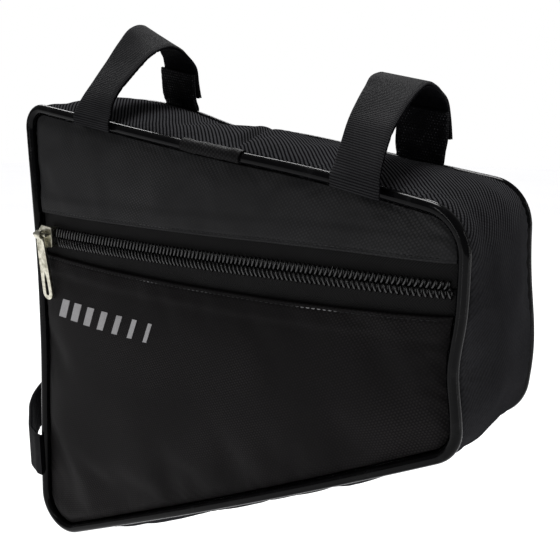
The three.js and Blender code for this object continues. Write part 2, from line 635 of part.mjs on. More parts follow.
function loopPath({ table, drift, frontLift, backLift, frontYaw }) {
  // Outer face of the loop in its own frame: x along the bag's edge, y into the depth, z outwards
  const rows = table.map(({ depth, height, yaw, tilt }) => ({
    y: FRONT_Y + depth * BAG_DEPTH, z: height * LOOP_HEIGHT, yaw, tilt,
  }));
  const front = FRONT_Y - FOOT_OUT - Math.sin(radians(frontYaw)) * STRAP_WIDTH / 2;
  const back = BACK_Y + FOOT_OUT;
  rows.unshift({ y: front, z: frontLift, yaw: frontYaw, tilt: 0 });
  rows.unshift({ y: front, z: frontLift - STRAP_TUCK, yaw: frontYaw, tilt: 0 });
  rows.push({ y: back, z: backLift, yaw: 0, tilt: 0 });
  rows.push({ y: back, z: backLift - STRAP_TUCK, yaw: 0, tilt: 0 });
  const points = rows.map(({ y, z }) => {
    const share = clamp((y - FRONT_Y) / BAG_DEPTH, 0, 1);
    return new THREE.Vector3(drift * share, y, z);
  });
  const curve = new THREE.CatmullRomCurve3(points, false, 'centripetal');
  const turns = (key) => {
    const track = rows.map((row, i) => new THREE.Vector3(i / (rows.length - 1), row[key], 0));
    return new THREE.CatmullRomCurve3(track, false, 'centripetal');
  };
  return { curve, yaw: turns('yaw'), tilt: turns('tilt') };
}

function strapSection({ curve, yaw, tilt }, u, lift, aside) {
  const centre = curve.getPoint(u);
  const along = curve.getTangent(u);
  const turn = radians(yaw.getPoint(u).y);
  const drop = radians(tilt.getPoint(u).y);
  const across = new THREE.Vector3(
    Math.cos(turn) * Math.cos(drop), -Math.sin(turn), -Math.sin(drop),
  ).normalize();
  const out = new THREE.Vector3().crossVectors(across, along).normalize();
  const edge = (side, depthIn) => centre.clone()
    .addScaledVector(across, side * STRAP_WIDTH / 2 + aside)
    .addScaledVector(out, lift - depthIn);
  return { outer: [edge(-1, 0), edge(1, 0)], inner: [edge(-1, STRAP_THICKNESS), edge(1, STRAP_THICKNESS)] };
}

function strap(name, path, { from, to, splay }, liftAt, place) {
  // The strap drifts sideways by its splay on the way from one end to the other
  const sections = Array.from({ length: STRAP_STEPS + 1 }, (_, i) => {
    const u = lerp(from, to, i / STRAP_STEPS);
    return strapSection(path, u, liftAt(u), splay * i / STRAP_STEPS);
  });
  const geometry = slab(sections.map((s) => s.outer), sections.map((s) => s.inner));
  geometry.applyMatrix4(place);
  add(name, geometry, STRAP_COLOUR, 0.8);
}

function shareAtHeight(curve, height) {
  // Share of the way round at which the back half of the loop comes down to a height
  let share = 1;
  while (share > 0.5 && curve.getPoint(share).z < height) share -= LAP_SEARCH_STEP;
  return share;
}

function strapLoop(name, shape, place) {
  // The long strap laps over the outside of the short tab
  const path = loopPath(shape);
  const longEnd = shareAtHeight(path.curve, shape.freeEnd);
  const tabEnd = shareAtHeight(path.curve, shape.freeEnd + STRAP_LAP);
  const liftAt = (u) => (
    LAP_LIFT * THREE.MathUtils.smoothstep(u, tabEnd - LAP_RAMP.length, tabEnd - LAP_RAMP.level));
  strap(`${name}_long`, path, { from: 0, to: longEnd, splay: 0 }, liftAt, place);
  strap(`${name}_tab`, path, { from: tabEnd, to: 1, splay: shape.tabSplay }, () => 0, place);
}

function topLoops() {
  const slope = new THREE.Matrix4().makeShear(0, -TOP_SLOPE, 0, 0, 0, 0);
  const shared = { drift: TOP_LOOP_DRIFT, tabSplay: TOP_TAB_SPLAY, backLift: BACK_RISE };
  const shapes = {
    left: { table: LEFT_LOOP, frontYaw: 0, freeEnd: FREE_END.left, ...shared },
    right: { table: RIGHT_LOOP, frontYaw: RIGHT_FOOT_YAW_DEG, freeEnd: FREE_END.right, ...shared },
  };
  for (const [side, shape] of Object.entries(shapes)) {
    const shift = side === 'left' ? TOP_LOOP_INSET.left - HALF_WIDTH : HALF_WIDTH - TOP_LOOP_INSET.right;
    const place = new THREE.Matrix4().makeTranslation(shift, 0, topLine(shift)).multiply(slope);
    strapLoop(`strap_${side}`, { frontLift: topHump(shift), ...shape }, place);
  }
}

function sideLoop() {
  const edgeZ = TOP_LEFT_Z - SIDE_LOOP_BELOW_CORNER;
  const edgeX = -HALF_WIDTH - leftLean(edgeZ);
  const turned = new THREE.Matrix4().makeRotationY(-Math.PI / 2);
  const place = new THREE.Matrix4().makeTranslation(edgeX, 0, edgeZ).multiply(turned);
  const shape = {
    table: SIDE_LOOP,
    frontYaw: 0,
    freeEnd: FREE_END.side,
    drift: SIDE_LOOP_DRIFT,
    tabSplay: 0,
    frontLift: 0,
    backLift: 0,
  };
  strapLoop('strap_side', shape, place);
}

gusset();
backPanel();
frontPanels();
piping('piping_front', FRONT_Y);
piping('piping_back', BACK_Y);
pipingJointCover();
zipTape('zip_tape_upper', 'above');
zipTape('zip_tape_lower', 'below');
zipCoil('zip_coil_upper', 'above');
zipCoil('zip_coil_lower', 'below');
zipSlider();
zipPull();
topLoops();
sideLoop();

export default bag;
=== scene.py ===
"""Looks of a bicycle frame bag: black cloth, glossy piping, a coil zip and webbing loops.

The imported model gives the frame. Each sub-assembly is a class that holds its sizes in
millimetres, builds its fine meshes in the place of the plain solids, and dresses them.
"""

import logging
import math
from dataclasses import dataclass, field
from enum import Enum
from typing import Any, Callable, Optional, Sequence, Union

import bpy
import numpy as np
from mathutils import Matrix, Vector


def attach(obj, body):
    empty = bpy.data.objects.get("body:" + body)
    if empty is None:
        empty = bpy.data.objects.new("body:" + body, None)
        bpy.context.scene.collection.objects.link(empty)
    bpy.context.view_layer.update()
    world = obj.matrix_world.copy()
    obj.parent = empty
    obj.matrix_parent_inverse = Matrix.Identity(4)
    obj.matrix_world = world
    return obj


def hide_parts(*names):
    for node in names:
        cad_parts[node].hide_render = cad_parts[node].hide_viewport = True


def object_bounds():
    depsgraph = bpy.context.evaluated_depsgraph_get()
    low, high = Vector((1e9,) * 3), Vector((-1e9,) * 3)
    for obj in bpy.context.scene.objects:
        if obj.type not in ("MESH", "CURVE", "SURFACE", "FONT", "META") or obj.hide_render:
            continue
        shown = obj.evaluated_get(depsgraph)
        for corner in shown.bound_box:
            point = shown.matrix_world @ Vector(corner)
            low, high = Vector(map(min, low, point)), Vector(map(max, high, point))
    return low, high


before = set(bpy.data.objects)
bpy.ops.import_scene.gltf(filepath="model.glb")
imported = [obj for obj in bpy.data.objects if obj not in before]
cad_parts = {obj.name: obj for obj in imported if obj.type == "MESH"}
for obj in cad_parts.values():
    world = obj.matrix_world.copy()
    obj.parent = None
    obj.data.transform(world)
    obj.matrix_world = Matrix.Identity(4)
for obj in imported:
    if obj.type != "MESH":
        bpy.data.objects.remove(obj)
CAD_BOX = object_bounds()

log = logging.getLogger("frame_bag")

MM = 0.001
SHARP_DEG = 50.0
BAG = "bag"
PULL = "pull"
WEAVE_MAP = "weave"

Array = np.ndarray


class Side(Enum):
    """The two sides of the zip."""

    ABOVE = 1
    BELOW = -1


class Layer(Enum):
    """The two layers of a strap: woven webbing outside, loop pile inside."""

    WEBBING = "webbing"
    PILE = "pile"


# Small mathematics on numbers and arrays


def bell(t: Array) -> Array:
    """Returns a bell curve, 1 at 0 and near 0 past 2."""
    return np.exp(-np.square(t))


def smoothstep(value: Array, low: float, high: float) -> Array:
    """Eases from 0 to 1.

    Args:
        value: Where to read the curve.
        low: Value at which it leaves 0.
        high: Value at which it reaches 1.

    Returns:
        The eased share.
    """
    share = np.clip((value - low) / (high - low), 0.0, 1.0)
    return share * share * (3.0 - 2.0 * share)


def lerp(start: Any, end: Any, share: Any) -> Any:
    """Returns the value a share of the way from start to end."""
    return start + (end - start) * share


def unit_rows(vectors: Array) -> Array:
    """Returns the vectors scaled to length 1 along their last axis."""
    return vectors / np.maximum(np.linalg.norm(vectors, axis=-1, keepdims=True), 1e-12)


def ripples(u: Array, v: Array, seed: int, size: float, waves: int = 14) -> Array:
    """Adds up waves of random direction into a soft uneven field.

    Args:
        u: First surface coordinate in mm.
        v: Second surface coordinate in mm.
        seed: Start of the random draws.
        size: Typical wave length in mm.
        waves: How many waves are added.

    Returns:
        The field, mostly between -1 and 1.
    """
    draw = np.random.default_rng(seed)
    total = np.zeros(np.broadcast(u, v).shape)
    for _ in range(waves):
        angle = draw.uniform(0, 2 * math.pi)
        length = size * draw.uniform(0.6, 1.7)
        phase = draw.uniform(0, 2 * math.pi)
        total += np.sin((u * math.cos(angle) + v * math.sin(angle)) * 2 * math.pi / length + phase)
    return total / math.sqrt(waves)


class Track:
    """A smooth curve through rows of values, centripetal as the loops of the model are."""

    def __init__(self, rows: Sequence[Sequence[float]]) -> None:
        """Keeps the rows that the curve passes through."""
        self.rows = np.array(rows, float)

    def _row(self, index: int) -> Array:
        """Reads a row, or one mirrored past an end.

        Args:
            index: Number of the row, which may lie one past an end.

        Returns:
            The values of the row.
        """
        last = len(self.rows) - 1
        if index < 0:
            return 2 * self.rows[0] - self.rows[1]
        if index > last:
            return 2 * self.rows[last] - self.rows[last - 1]
        return self.rows[index]

    def at(self, share: float) -> Array:
        """Reads the curve.

        Args:
            share: Place along the curve, 0 to 1, with equal steps from row to row.

        Returns:
            The values there.
        """
        place = share * (len(self.rows) - 1)
        index = min(int(math.floor(place)), len(self.rows) - 2)
        t = place - index
        p0, p1, p2, p3 = (self._row(index + k) for k in (-1, 0, 1, 2))
        d0, d1, d2 = (math.sqrt(np.linalg.norm(b - a)) for a, b in ((p0, p1), (p1, p2), (p2, p3)))
        d1 = d1 if d1 > 1e-4 else 1.0
        d0 = d0 if d0 > 1e-4 else d1
        d2 = d2 if d2 > 1e-4 else d1
        m1 = ((p1 - p0) / d0 - (p2 - p0) / (d0 + d1) + (p2 - p1) / d1) * d1
        m2 = ((p2 - p1) / d1 - (p3 - p1) / (d1 + d2) + (p3 - p2) / d2) * d1
        cubic = 2 * p1 - 2 * p2 + m1 + m2
        square = -3 * p1 + 3 * p2 - 2 * m1 - m2
        return p1 + m1 * t + square * t ** 2 + cubic * t ** 3


# Meshes


class Maker:
    """Turns arrays of points in mm into mesh objects in metres."""

    @staticmethod
    def mesh(name: str, points: Array, faces: Sequence[Sequence[int]], uv: Optional[Array] = None,
             sharp_deg: float = SHARP_DEG) -> bpy.types.Object:
        """Makes a smooth-shaded mesh object.

        Args:
            name: Name of the object.
            points: Points in mm, one row each.
            faces: Corner numbers of each face.
            uv: Weave coordinates in mm, one pair for each point.
            sharp_deg: Edges that turn more than this stay sharp.

        Returns:
            The object, linked to the scene.
        """
        data = bpy.data.meshes.new(name)
        data.from_pydata((np.asarray(points, float) * MM).tolist(), [], [tuple(f) for f in faces])
        data.update()
        if uv is not None:
            layer = data.uv_layers.new(name=WEAVE_MAP)
            corners = np.empty(len(data.loops), np.int32)
            data.loops.foreach_get("vertex_index", corners)
            layer.uv.foreach_set("vector", np.asarray(uv, np.float32)[corners].ravel())
        Maker.face_outwards(data)
        data.shade_smooth()
        data.set_sharp_from_angle(angle=math.radians(sharp_deg))
        made = bpy.data.objects.new(name, data)
        bpy.context.scene.collection.objects.link(made)
        return made

    @staticmethod
    def face_outwards(data: bpy.types.Mesh) -> None:
        """Turns the faces of a closed mesh so that its volume is positive.

        Args:
            data: The mesh.
        """
        data.calc_loop_triangles()
        corners = np.empty(len(data.loop_triangles) * 3, np.int32)
        data.loop_triangles.foreach_get("vertices", corners)
        places = np.empty(len(data.vertices) * 3, np.float64)
        data.vertices.foreach_get("co", places)
        a, b, c = np.moveaxis(places.reshape(-1, 3)[corners.reshape(-1, 3)], 1, 0)
        if np.einsum("ij,ij->", a, np.cross(b, c)) < 0:
            data.flip_normals()

    @staticmethod
    def sheet(name: str, outer: Array, inner: Array, uv: Array, wrap: bool = False) -> bpy.types.Object:
        """Makes a closed sheet between two grids of points.

        Args:
            name: Name of the object.
            outer: Outer grid, rows by columns.
            inner: Inner grid of the same size.
            uv: Weave coordinates of the grid in mm.
            wrap: True if the last row meets the first.

        Returns:
            The sheet.
        """
        rows, columns = outer.shape[:2]
        half = rows * columns
        number = np.arange(half).reshape(rows, columns)
        if wrap:
            number = np.vstack([number, number[:1]])
        a, b, c, d = number[:-1, :-1], number[:-1, 1:], number[1:, 1:], number[1:, :-1]
        top = np.stack([a, b, c, d], -1).reshape(-1, 4)
        faces = [top, top[:, ::-1] + half]
        rims = [number[:, 0], number[::-1, -1]]
        if not wrap:
            rims += [number[0, ::-1], number[-1, :]]
        for rim in rims:
            faces.append(np.stack([rim[:-1], rim[1:], rim[1:] + half, rim[:-1] + half], -1))
        points = np.concatenate([outer.reshape(-1, 3), inner.reshape(-1, 3)])
        both = np.concatenate([uv.reshape(-1, 2)] * 2)
        return Maker.mesh(name, points, np.concatenate(faces).tolist(), both)

    @staticmethod
    def sweep(name: str, rings: Array, closed: bool, sharp_deg: float = SHARP_DEG) -> bpy.types.Object:
        """Makes a skin over a row of equal rings.

        Args:
            name: Name of the object.
            rings: Rings of points, ring by corner.
            closed: True if the last ring meets the first; otherwise the ends get caps.
            sharp_deg: Edges that turn more than this stay sharp.

        Returns:
            The swept piece.
        """
        faces = Maker.ring_faces(rings.shape[0], rings.shape[1], closed)
        return Maker.mesh(name, rings.reshape(-1, 3), faces, sharp_deg=sharp_deg)

    @staticmethod
    def ring_faces(count: int, sides: int, closed: bool) -> list:
        """Lists the faces over a row of rings.

        Args:
            count: How many rings.
            sides: Corners of each ring.
            closed: True if the last ring meets the first.

        Returns:
            The faces, with caps on an open row.
        """
        number = np.arange(count * sides).reshape(count, sides)
        after = np.roll(number, -1, axis=0) if closed else number[1:]
        first = number if closed else number[:-1]
        quads = np.stack(
            [first, after, np.roll(after, -1, axis=1), np.roll(first, -1, axis=1)], -1)
        faces = quads.reshape(-1, 4).tolist()
        if not closed:
            faces.append(number[0].tolist())
            faces.append(number[-1, ::-1].tolist())
        return faces

    @staticmethod
    def tube_rings(path: Array, radius: Array, sides: int) -> Array:
        """Places round rings along a path, without twist.

        Args:
            path: Points of the path in mm.
            radius: Radius at each point, or one for all.
            sides: Corners of each ring.

        Returns:
            The rings.
        """
        along = unit_rows(np.gradient(path, axis=0))
        guide = np.array([0.0, 1.0, 0.0]) if abs(along[0][1]) < 0.9 else np.array([1.0, 0.0, 0.0])
        across = np.empty_like(path)
        for i, direction in enumerate(along):
            guide = guide - direction * guide.dot(direction)
            guide = guide / np.linalg.norm(guide)
            across[i] = guide
        upward = np.cross(along, across)
        angles = np.linspace(0, 2 * math.pi, sides, endpoint=False)
        reach = np.broadcast_to(radius, (len(path),))[:, None, None]
        spokes = (across[:, None] * np.cos(angles)[None, :, None]
                  + upward[:, None] * np.sin(angles)[None, :, None])
        return path[:, None] + spokes * reach

    @staticmethod
    def many(name: str, parts: Sequence[tuple]) -> bpy.types.Object:
        """Joins small closed meshes into one object.

        Args:
            name: Name of the object.
            parts: Pairs of points and faces.

        Returns:
            The joined object.
        """
        points, faces, start = [], [], 0
        for spots, corners in parts:
            points.append(spots)
            faces.extend([[start + k for k in face] for face in corners])
            start += len(spots)
        return Maker.mesh(name, np.concatenate(points), faces)


def settle(piece: bpy.types.Object, body: str, slot: str, *nodes: str) -> None:
    """Ties a piece to its body and hides the solids that it stands for.

    Args:
        piece: The finished piece.
        body: Body that it moves with.
        slot: Material slot; not used.
        nodes: Plain solids that it replaces.
    """
    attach(piece, body)
    if nodes:
        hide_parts(*nodes)
    log.info("%s: %d faces", piece.name, len(piece.data.polygons))


# Shader maths


class Value:
    """A number socket whose operators add Math nodes."""

    def __init__(self, nodes: "Nodes", socket: Any) -> None:
        """Keeps the material's nodes and the socket."""
        self.nodes = nodes
        self.socket = socket

    def _with(self, operation: str, *values: Any) -> "Value":
        """Adds one Math node and returns its result."""
        return self.nodes.value("ShaderNodeMath", {"operation": operation}, dict(enumerate(values)))

    def __add__(self, other: Any) -> "Value":
        """Returns the sum."""
        return self._with("ADD", self, other)

    __radd__ = __add__

    def __sub__(self, other: Any) -> "Value":
        """Returns the difference."""
        return self._with("SUBTRACT", self, other)

    def __rsub__(self, other: Any) -> "Value":
        """Returns the difference the other way round."""
        return self._with("SUBTRACT", other, self)

    def __mul__(self, other: Any) -> "Value":
        """Returns the product."""
        return self._with("MULTIPLY", self, other)

    __rmul__ = __mul__

    def __truediv__(self, other: Any) -> "Value":
        """Returns the quotient."""
        return self._with("DIVIDE", self, other)

    def __rtruediv__(self, other: Any) -> "Value":
        """Returns the quotient the other way round."""
        return self._with("DIVIDE", other, self)

    def floor(self) -> "Value":
        """Returns the whole part."""
        return self._with("FLOOR", self)

    def fraction(self) -> "Value":
        """Returns the part after the whole."""
        return self._with("FRACT", self)

    def sine(self) -> "Value":
        """Returns the sine of an angle in radians."""
        return self._with("SINE", self)

    def ease(self, low: float, high: float) -> "Value":
        """Eases from 0 at low to 1 at high.

        Args:
            low: Value at which it leaves 0.
            high: Value at which it reaches 1.

        Returns:
            The eased value.
        """
        inputs = {"Value": self, "From Min": low, "From Max": high}
        return self.nodes.value("ShaderNodeMapRange", {"interpolation_type": "SMOOTHSTEP"}, inputs)


class Nodes:
    """The node tree of one material."""

    def __init__(self, name: str) -> None:
        """Starts a material with only its output.

        Args:
            name: Name of the material.
        """
        self.material = bpy.data.materials.new(name)
        self.material.use_nodes = True
        self.tree = self.material.node_tree
        self.tree.nodes.clear()
        self.output = self.tree.nodes.new("ShaderNodeOutputMaterial")

    def add(self, kind: str, settings: Optional[dict] = None, inputs: Optional[dict] = None) -> Any:
        """Adds a node.

        Args:
            kind: Type of the node.
            settings: Its own settings, such as a Math node's operation, set first.
            inputs: Values or links of its sockets, by name or number.

        Returns:
            The node.
        """
        made = self.tree.nodes.new(kind)
        for key, value in (settings or {}).items():
            setattr(made, key, value)
        for key, value in (inputs or {}).items():
            link = value.socket if isinstance(value, Value) else value
            if isinstance(link, bpy.types.NodeSocket):
                self.tree.links.new(link, made.inputs[key])
            else:
                made.inputs[key].default_value = value
        return made

    def value(self, kind: str, settings: dict, inputs: dict, output: Union[int, str] = 0) -> Value:
        """Adds a node and returns one of its outputs as a value."""
        return Value(self, self.add(kind, settings, inputs).outputs[output])

    def noise(self, vector: Any, scale: float, detail: float = 2.0, roughness: float = 0.5) -> Value:
        """Returns a noise value from 0 to 1 with the given scale."""
        inputs = {"Vector": vector, "Scale": scale, "Detail": detail, "Roughness": roughness}
        return self.value("ShaderNodeTexNoise", {}, inputs, "Fac")

    def place(self) -> Any:
        """Returns the object coordinates, in metres."""
        return self.add("ShaderNodeTexCoord").outputs["Object"]

    def weave_place(self) -> tuple:
        """Reads the weave coordinates in mm.

        Returns:
            The coordinates along and across the cloth.
        """
        vector = self.add("ShaderNodeUVMap", {"uv_map": WEAVE_MAP}).outputs[0]
        split = self.add("ShaderNodeSeparateXYZ", {}, {0: vector})
        return Value(self, split.outputs[0]), Value(self, split.outputs[1])

    def mix(self, share: Any, first: Sequence[float], second: Sequence[float]) -> Any:
        """Mixes two colours by a share and returns the colour socket."""
        inputs = {0: share, 6: (*first, 1.0), 7: (*second, 1.0)}
        return self.add("ShaderNodeMix", {"data_type": "RGBA"}, inputs).outputs[2]

    def bump(self, height: Any, depth_mm: float, strength: float = 1.0, under: Any = None) -> Any:
        """Adds a Bump node.

        Args:
            height: Height from 0 to 1.
            depth_mm: Depth of the relief in mm.
            strength: How strongly it shows.
            under: Normal of a coarser relief.

        Returns:
            The normal socket.
        """
        inputs = {"Height": height, "Distance": depth_mm * MM, "Strength": strength}
        if under is not None:
            inputs["Normal"] = under
        return self.add("ShaderNodeBump", {}, inputs).outputs[0]

    def finish(self, inputs: dict) -> bpy.types.Material:
        """Adds the surface shader.

        Args:
            inputs: Values or links of the shader's sockets.

        Returns:
            The material.
        """
        shader = self.add("ShaderNodeBsdfPrincipled", {}, inputs)
        self.tree.links.new(shader.outputs[0], self.output.inputs[0])
        return self.material


def dress(piece: bpy.types.Object, material: bpy.types.Material) -> None:
    """Puts a material on a piece, in place of any that it has."""
    piece.data.materials.clear()
    piece.data.materials.append(material)


# Finishes


@dataclass(frozen=True)
class RibbedCloth:
    """Black coated polyester with the diagonal ribs of a bold twill."""

    name: str
    base: tuple = (0.0034, 0.0034, 0.0038)
    crest: tuple = (0.043, 0.043, 0.0462)
    rib: float = 1.3
    thread: float = 1.1
    depth: float = 0.36
    roughness: float = 0.7
    gloss: float = 0.0
    calm_from: float = 186.0
    calm_reach: float = 24.0
    calm_share: float = 0.88
    rib_edges: tuple = (0.2, 0.95)
    broken: float = 0.3
    patch_scale: float = 28.0
    grain_scale: float = 900.0
    shown: tuple = (0.15, 1.0)

    def make(self) -> bpy.types.Material:
        """Builds the material: slanted ribs broken by cross threads, pressed flat past the top. The rib
        crests are painted light and the grooves painted shade, with random grain and broad tone mixed in.

        Returns:
            The material.
        """
        nodes = Nodes(self.name)
        u, v = nodes.weave_place()
        place = nodes.place()
        rows = (u + v) * (math.sqrt(0.5) / self.rib)
        rib = (rows.fraction() * math.pi).sine().ease(*self.rib_edges)
        step = (u - v) * (math.sqrt(0.5) / self.thread) + rows.floor() * 0.5
        threads = (step * (2 * math.pi)).sine() * 0.5 + 0.5
        flat = u.ease(self.calm_from, self.calm_from + self.calm_reach) * self.calm_share
        height = rib * (threads * self.broken + (1 - self.broken)) * (1.0 - flat) + flat * 0.5
        broad = nodes.noise(place, self.patch_scale, 3.0)
        fine = nodes.noise(place, self.grain_scale)
        # Painted light on the rib crests and painted shade in the grooves, mixed with random grain and broad
        # tone.
        painted_sheen_and_tone = (height * 0.85 + fine * 0.15) * (broad * 0.8 + 0.6)
        colour = nodes.mix(painted_sheen_and_tone.ease(*self.shown), self.base, self.crest)
        rough = self.roughness + (broad - 0.5) * 0.16 - height * 0.08
        coarse = nodes.bump(broad, 1.2, 0.25)
        return nodes.finish({
            "Base Color": colour, "Roughness": rough, "Specular IOR Level": self.gloss,
            "Normal": nodes.bump(height + fine * 0.25, self.depth, 0.9, coarse),
        })


@dataclass(frozen=True)
class PlainCloth:
    """The same black polyester seen flat: fine dots in slanted rows."""

    name: str
    base: tuple = (0.0035, 0.0034, 0.0036)
    crest: tuple = (0.0165, 0.0161, 0.0168)
    rib: float = 1.15
    dot: float = 1.0
    depth: float = 0.12
    roughness: float = 0.65
    gloss: float = 0.06
    patch_scale: float = 24.0
    grain_scale: float = 1100.0
    wear_scale: float = 16.0
    wear_edges: tuple = (0.4, 0.66)
    shown: tuple = (0.1, 0.95)

    def make(self) -> bpy.types.Material:
        """Builds the material: rows of raised dots, slubs and broad unevenness. The dot crests are painted
        light, with random grain and worn patches mixed in.

        Returns:
            The material.
        """
        nodes = Nodes(self.name)
        u, v = nodes.weave_place()
        place = nodes.place()
        rows = (u + v) * (math.sqrt(0.5) / self.rib)
        step = (u - v) * (math.sqrt(0.5) / self.dot) + rows.floor() * 0.5
        height = (rows.fraction() * math.pi).sine() * (step.fraction() * math.pi).sine()
        broad = nodes.noise(place, self.patch_scale, 3.0)
        fine = nodes.noise(place, self.grain_scale)
        worn = nodes.noise(place, self.wear_scale).ease(*self.wear_edges) * 0.6 + 0.4
        # Painted light on the dot crests, mixed with random grain and broad tone.
        painted_sheen_and_tone = (height * worn * 0.75 + fine * 0.25) * (broad * 0.8 + 0.6)
        colour = nodes.mix(painted_sheen_and_tone.ease(*self.shown), self.base, self.crest)
        rough = self.roughness + (broad - 0.5) * 0.14 - height * 0.06
        coarse = nodes.bump(broad, 1.0, 0.2)
        return nodes.finish({
            "Base Color": colour, "Roughness": rough, "Specular IOR Level": self.gloss,
            "Normal": nodes.bump(height * worn + fine * 0.2, self.depth, 0.7, coarse),
        })


@dataclass(frozen=True)
class GlossPiping:
    """Glossy black vinyl over a cord, a little dimpled by the cord inside."""

    name: str = "gloss_piping"
    base: tuple = (0.0018, 0.0018, 0.0021)
    scuffed: tuple = (0.0065, 0.0065, 0.0071)
    roughness: float = 0.14
    scuff_scale: float = 160.0
    scuff_edges: tuple = (0.52, 0.8)
    dull_edges: tuple = (0.45, 0.85)
    dimple_scale: float = 420.0

    def make(self) -> bpy.types.Material:
        """Builds the material: smooth vinyl with soft dimples and dull scuffs.

        Returns:
            The material.
        """
        nodes = Nodes(self.name)
        place = nodes.place()
        scuffs = nodes.noise(place, self.scuff_scale, 4.0, 0.65)
        dimples = nodes.noise(place, self.dimple_scale, 1.0)
        colour = nodes.mix(scuffs.ease(*self.scuff_edges), self.base, self.scuffed)
        rough = scuffs.ease(*self.dull_edges) * 0.2 + self.roughness
        return nodes.finish({
            "Base Color": colour, "Roughness": rough, "Specular IOR Level": 0.04,
            "Coat Weight": 0.1, "Coat Roughness": 0.05,
            "Normal": nodes.bump(dimples, 0.12, 0.35),
        })


@dataclass(frozen=True)
class ZipTape:
    """Black herringbone tape of the zip."""

    name: str = "zip_tape"
    base: tuple = (0.0035, 0.0034, 0.0035)
    crest: tuple = (0.0095, 0.0092, 0.0095)
    thread: float = 0.5
    column: float = 2.4
    grain_scale: float = 1200.0
    shown: tuple = (0.2, 1.0)

    def make(self) -> bpy.types.Material:
        """Builds the material: slanted threads that turn from column to column, their crests painted lighter
        as painted sheen.

        Returns:
            The material.
        """
        nodes = Nodes(self.name)
        u, v = nodes.weave_place()
        place = nodes.place()
        turn = ((v / self.column).floor() * 0.5).fraction() * 4.0 - 1.0
        slant = ((u + v * turn) / self.thread * math.pi).sine() * 0.5 + 0.5
        fine = nodes.noise(place, self.grain_scale)
        # Painted sheen on the thread crests, mixed with random grain.
        colour = nodes.mix((slant * 0.6 + fine * 0.4).ease(*self.shown), self.base, self.crest)
        return nodes.finish({
            "Base Color": colour, "Roughness": fine * 0.15 + 0.6, "Specular IOR Level": 0.1,
            "Normal": nodes.bump(slant + fine * 0.3, 0.1, 0.6),
        })


@dataclass(frozen=True)
class CoilNylon:
    """Glossy black nylon wire of the coil."""

    name: str = "coil_nylon"
    base: tuple = (0.002, 0.002, 0.0022)
    worn: tuple = (0.009, 0.009, 0.0094)
    roughness: float = 0.14
    mark_scale: float = 700.0
    worn_edges: tuple = (0.5, 0.85)

    def make(self) -> bpy.types.Material:
        """Builds the material: smooth nylon with faint drawing marks.

        Returns:
            The material.
        """
        nodes = Nodes(self.name)
        marks = nodes.noise(nodes.place(), self.mark_scale, 3.0)
        colour = nodes.mix(marks.ease(*self.worn_edges), self.base, self.worn)
        return nodes.finish({
            "Base Color": colour, "Roughness": marks * 0.12 + self.roughness, "Specular IOR Level": 0.6,
            "Normal": nodes.bump(marks, 0.03, 0.3),
        })


@dataclass(frozen=True)
class WornNickel:
    """Pale nickel plate with a warm cast, dull in its recesses."""

    name: str = "worn_nickel"
    bright: tuple = (0.68, 0.66, 0.55)
    dull: tuple = (0.24, 0.23, 0.17)
    roughness: float = 0.2
    patch_scale: float = 420.0
    grain_scale: float = 2600.0
    dull_edges: tuple = (0.35, 0.72)

    def make(self) -> bpy.types.Material:
        """Builds the material: die cast plate with worn and tarnished patches.

        Returns:
            The material.
        """
        nodes = Nodes(self.name)
        place = nodes.place()
        patches = nodes.noise(place, self.patch_scale, 4.0, 0.6)
        grain = nodes.noise(place, self.grain_scale)
        colour = nodes.mix(patches.ease(*self.dull_edges), self.bright, self.dull)
        return nodes.finish({
            "Base Color": colour, "Metallic": 1.0, "Roughness": patches * 0.22 + self.roughness,
            "Normal": nodes.bump(grain + patches * 0.5, 0.03, 0.3),
        })


@dataclass(frozen=True)
class Webbing:
    """Black cross-ribbed webbing: ribs across its width, firm edges."""

    name: str = "ribbed_webbing"
    base: tuple = (0.003, 0.003, 0.0036)
    crest: tuple = (0.031, 0.031, 0.0328)
    rib: float = 0.85
    thread: float = 0.7
    broken: float = 0.3
    fluff_scale: float = 1500.0
    patch_scale: float = 60.0
    shown: tuple = (0.15, 1.0)

    def make(self) -> bpy.types.Material:
        """Builds the material: ribs along u, threads along v and fluff on the crests.

        Returns:
            The material.
        """
        nodes = Nodes(self.name)
        u, v = nodes.weave_place()
        place = nodes.place()
        rows = u / self.rib
        rib = (rows.fraction() * math.pi).sine()
        offset = (rows.floor() * 0.5).fraction() * 2.0
        threads = ((v / self.thread + offset * 0.5) * (2 * math.pi)).sine() * 0.5 + 0.5
        height = rib * (threads * self.broken + (1 - self.broken))
        fluff = nodes.noise(place, self.fluff_scale, 3.0, 0.7)
        broad = nodes.noise(place, self.patch_scale)
        shade = (height * 0.65 + fluff * 0.35) * (broad * 0.6 + 0.6)
        colour = nodes.mix(shade.ease(*self.shown), self.base, self.crest)
        return nodes.finish({
            "Base Color": colour, "Roughness": 0.8 - height * 0.1, "Specular IOR Level": 0.03,
            "Normal": nodes.bump(height + fluff * 0.3, 0.2, 0.8),
        })


@dataclass(frozen=True)
class LoopPile:
    """Dark fuzzy pile on the inside of a strap."""

    name: str = "loop_pile"
    base: tuple = (0.0012, 0.0012, 0.0017)
    crest: tuple = (0.005, 0.005, 0.0065)
    loop_scale: float = 1300.0
    tangle_scale: float = 1900.0
    shown: tuple = (0.35, 0.8)

    def make(self) -> bpy.types.Material:
        """Builds the material: a tangle of small loops.

        Returns:
            The material.
        """
        nodes = Nodes(self.name)
        place = nodes.place()
        inputs = {"Vector": place, "Scale": self.loop_scale}
        cells = nodes.value("ShaderNodeTexVoronoi", {"feature": "F1"}, inputs)
        tangle = nodes.noise(place, self.tangle_scale, 4.0, 0.75)
        height = tangle * 0.7 + (1.0 - cells) * 0.3
        colour = nodes.mix(height.ease(*self.shown), self.base, self.crest)
        return nodes.finish({
            "Base Color": colour, "Roughness": 0.95, "Specular IOR Level": 0.04,
            "Normal": nodes.bump(height, 0.45, 1.0),
        })


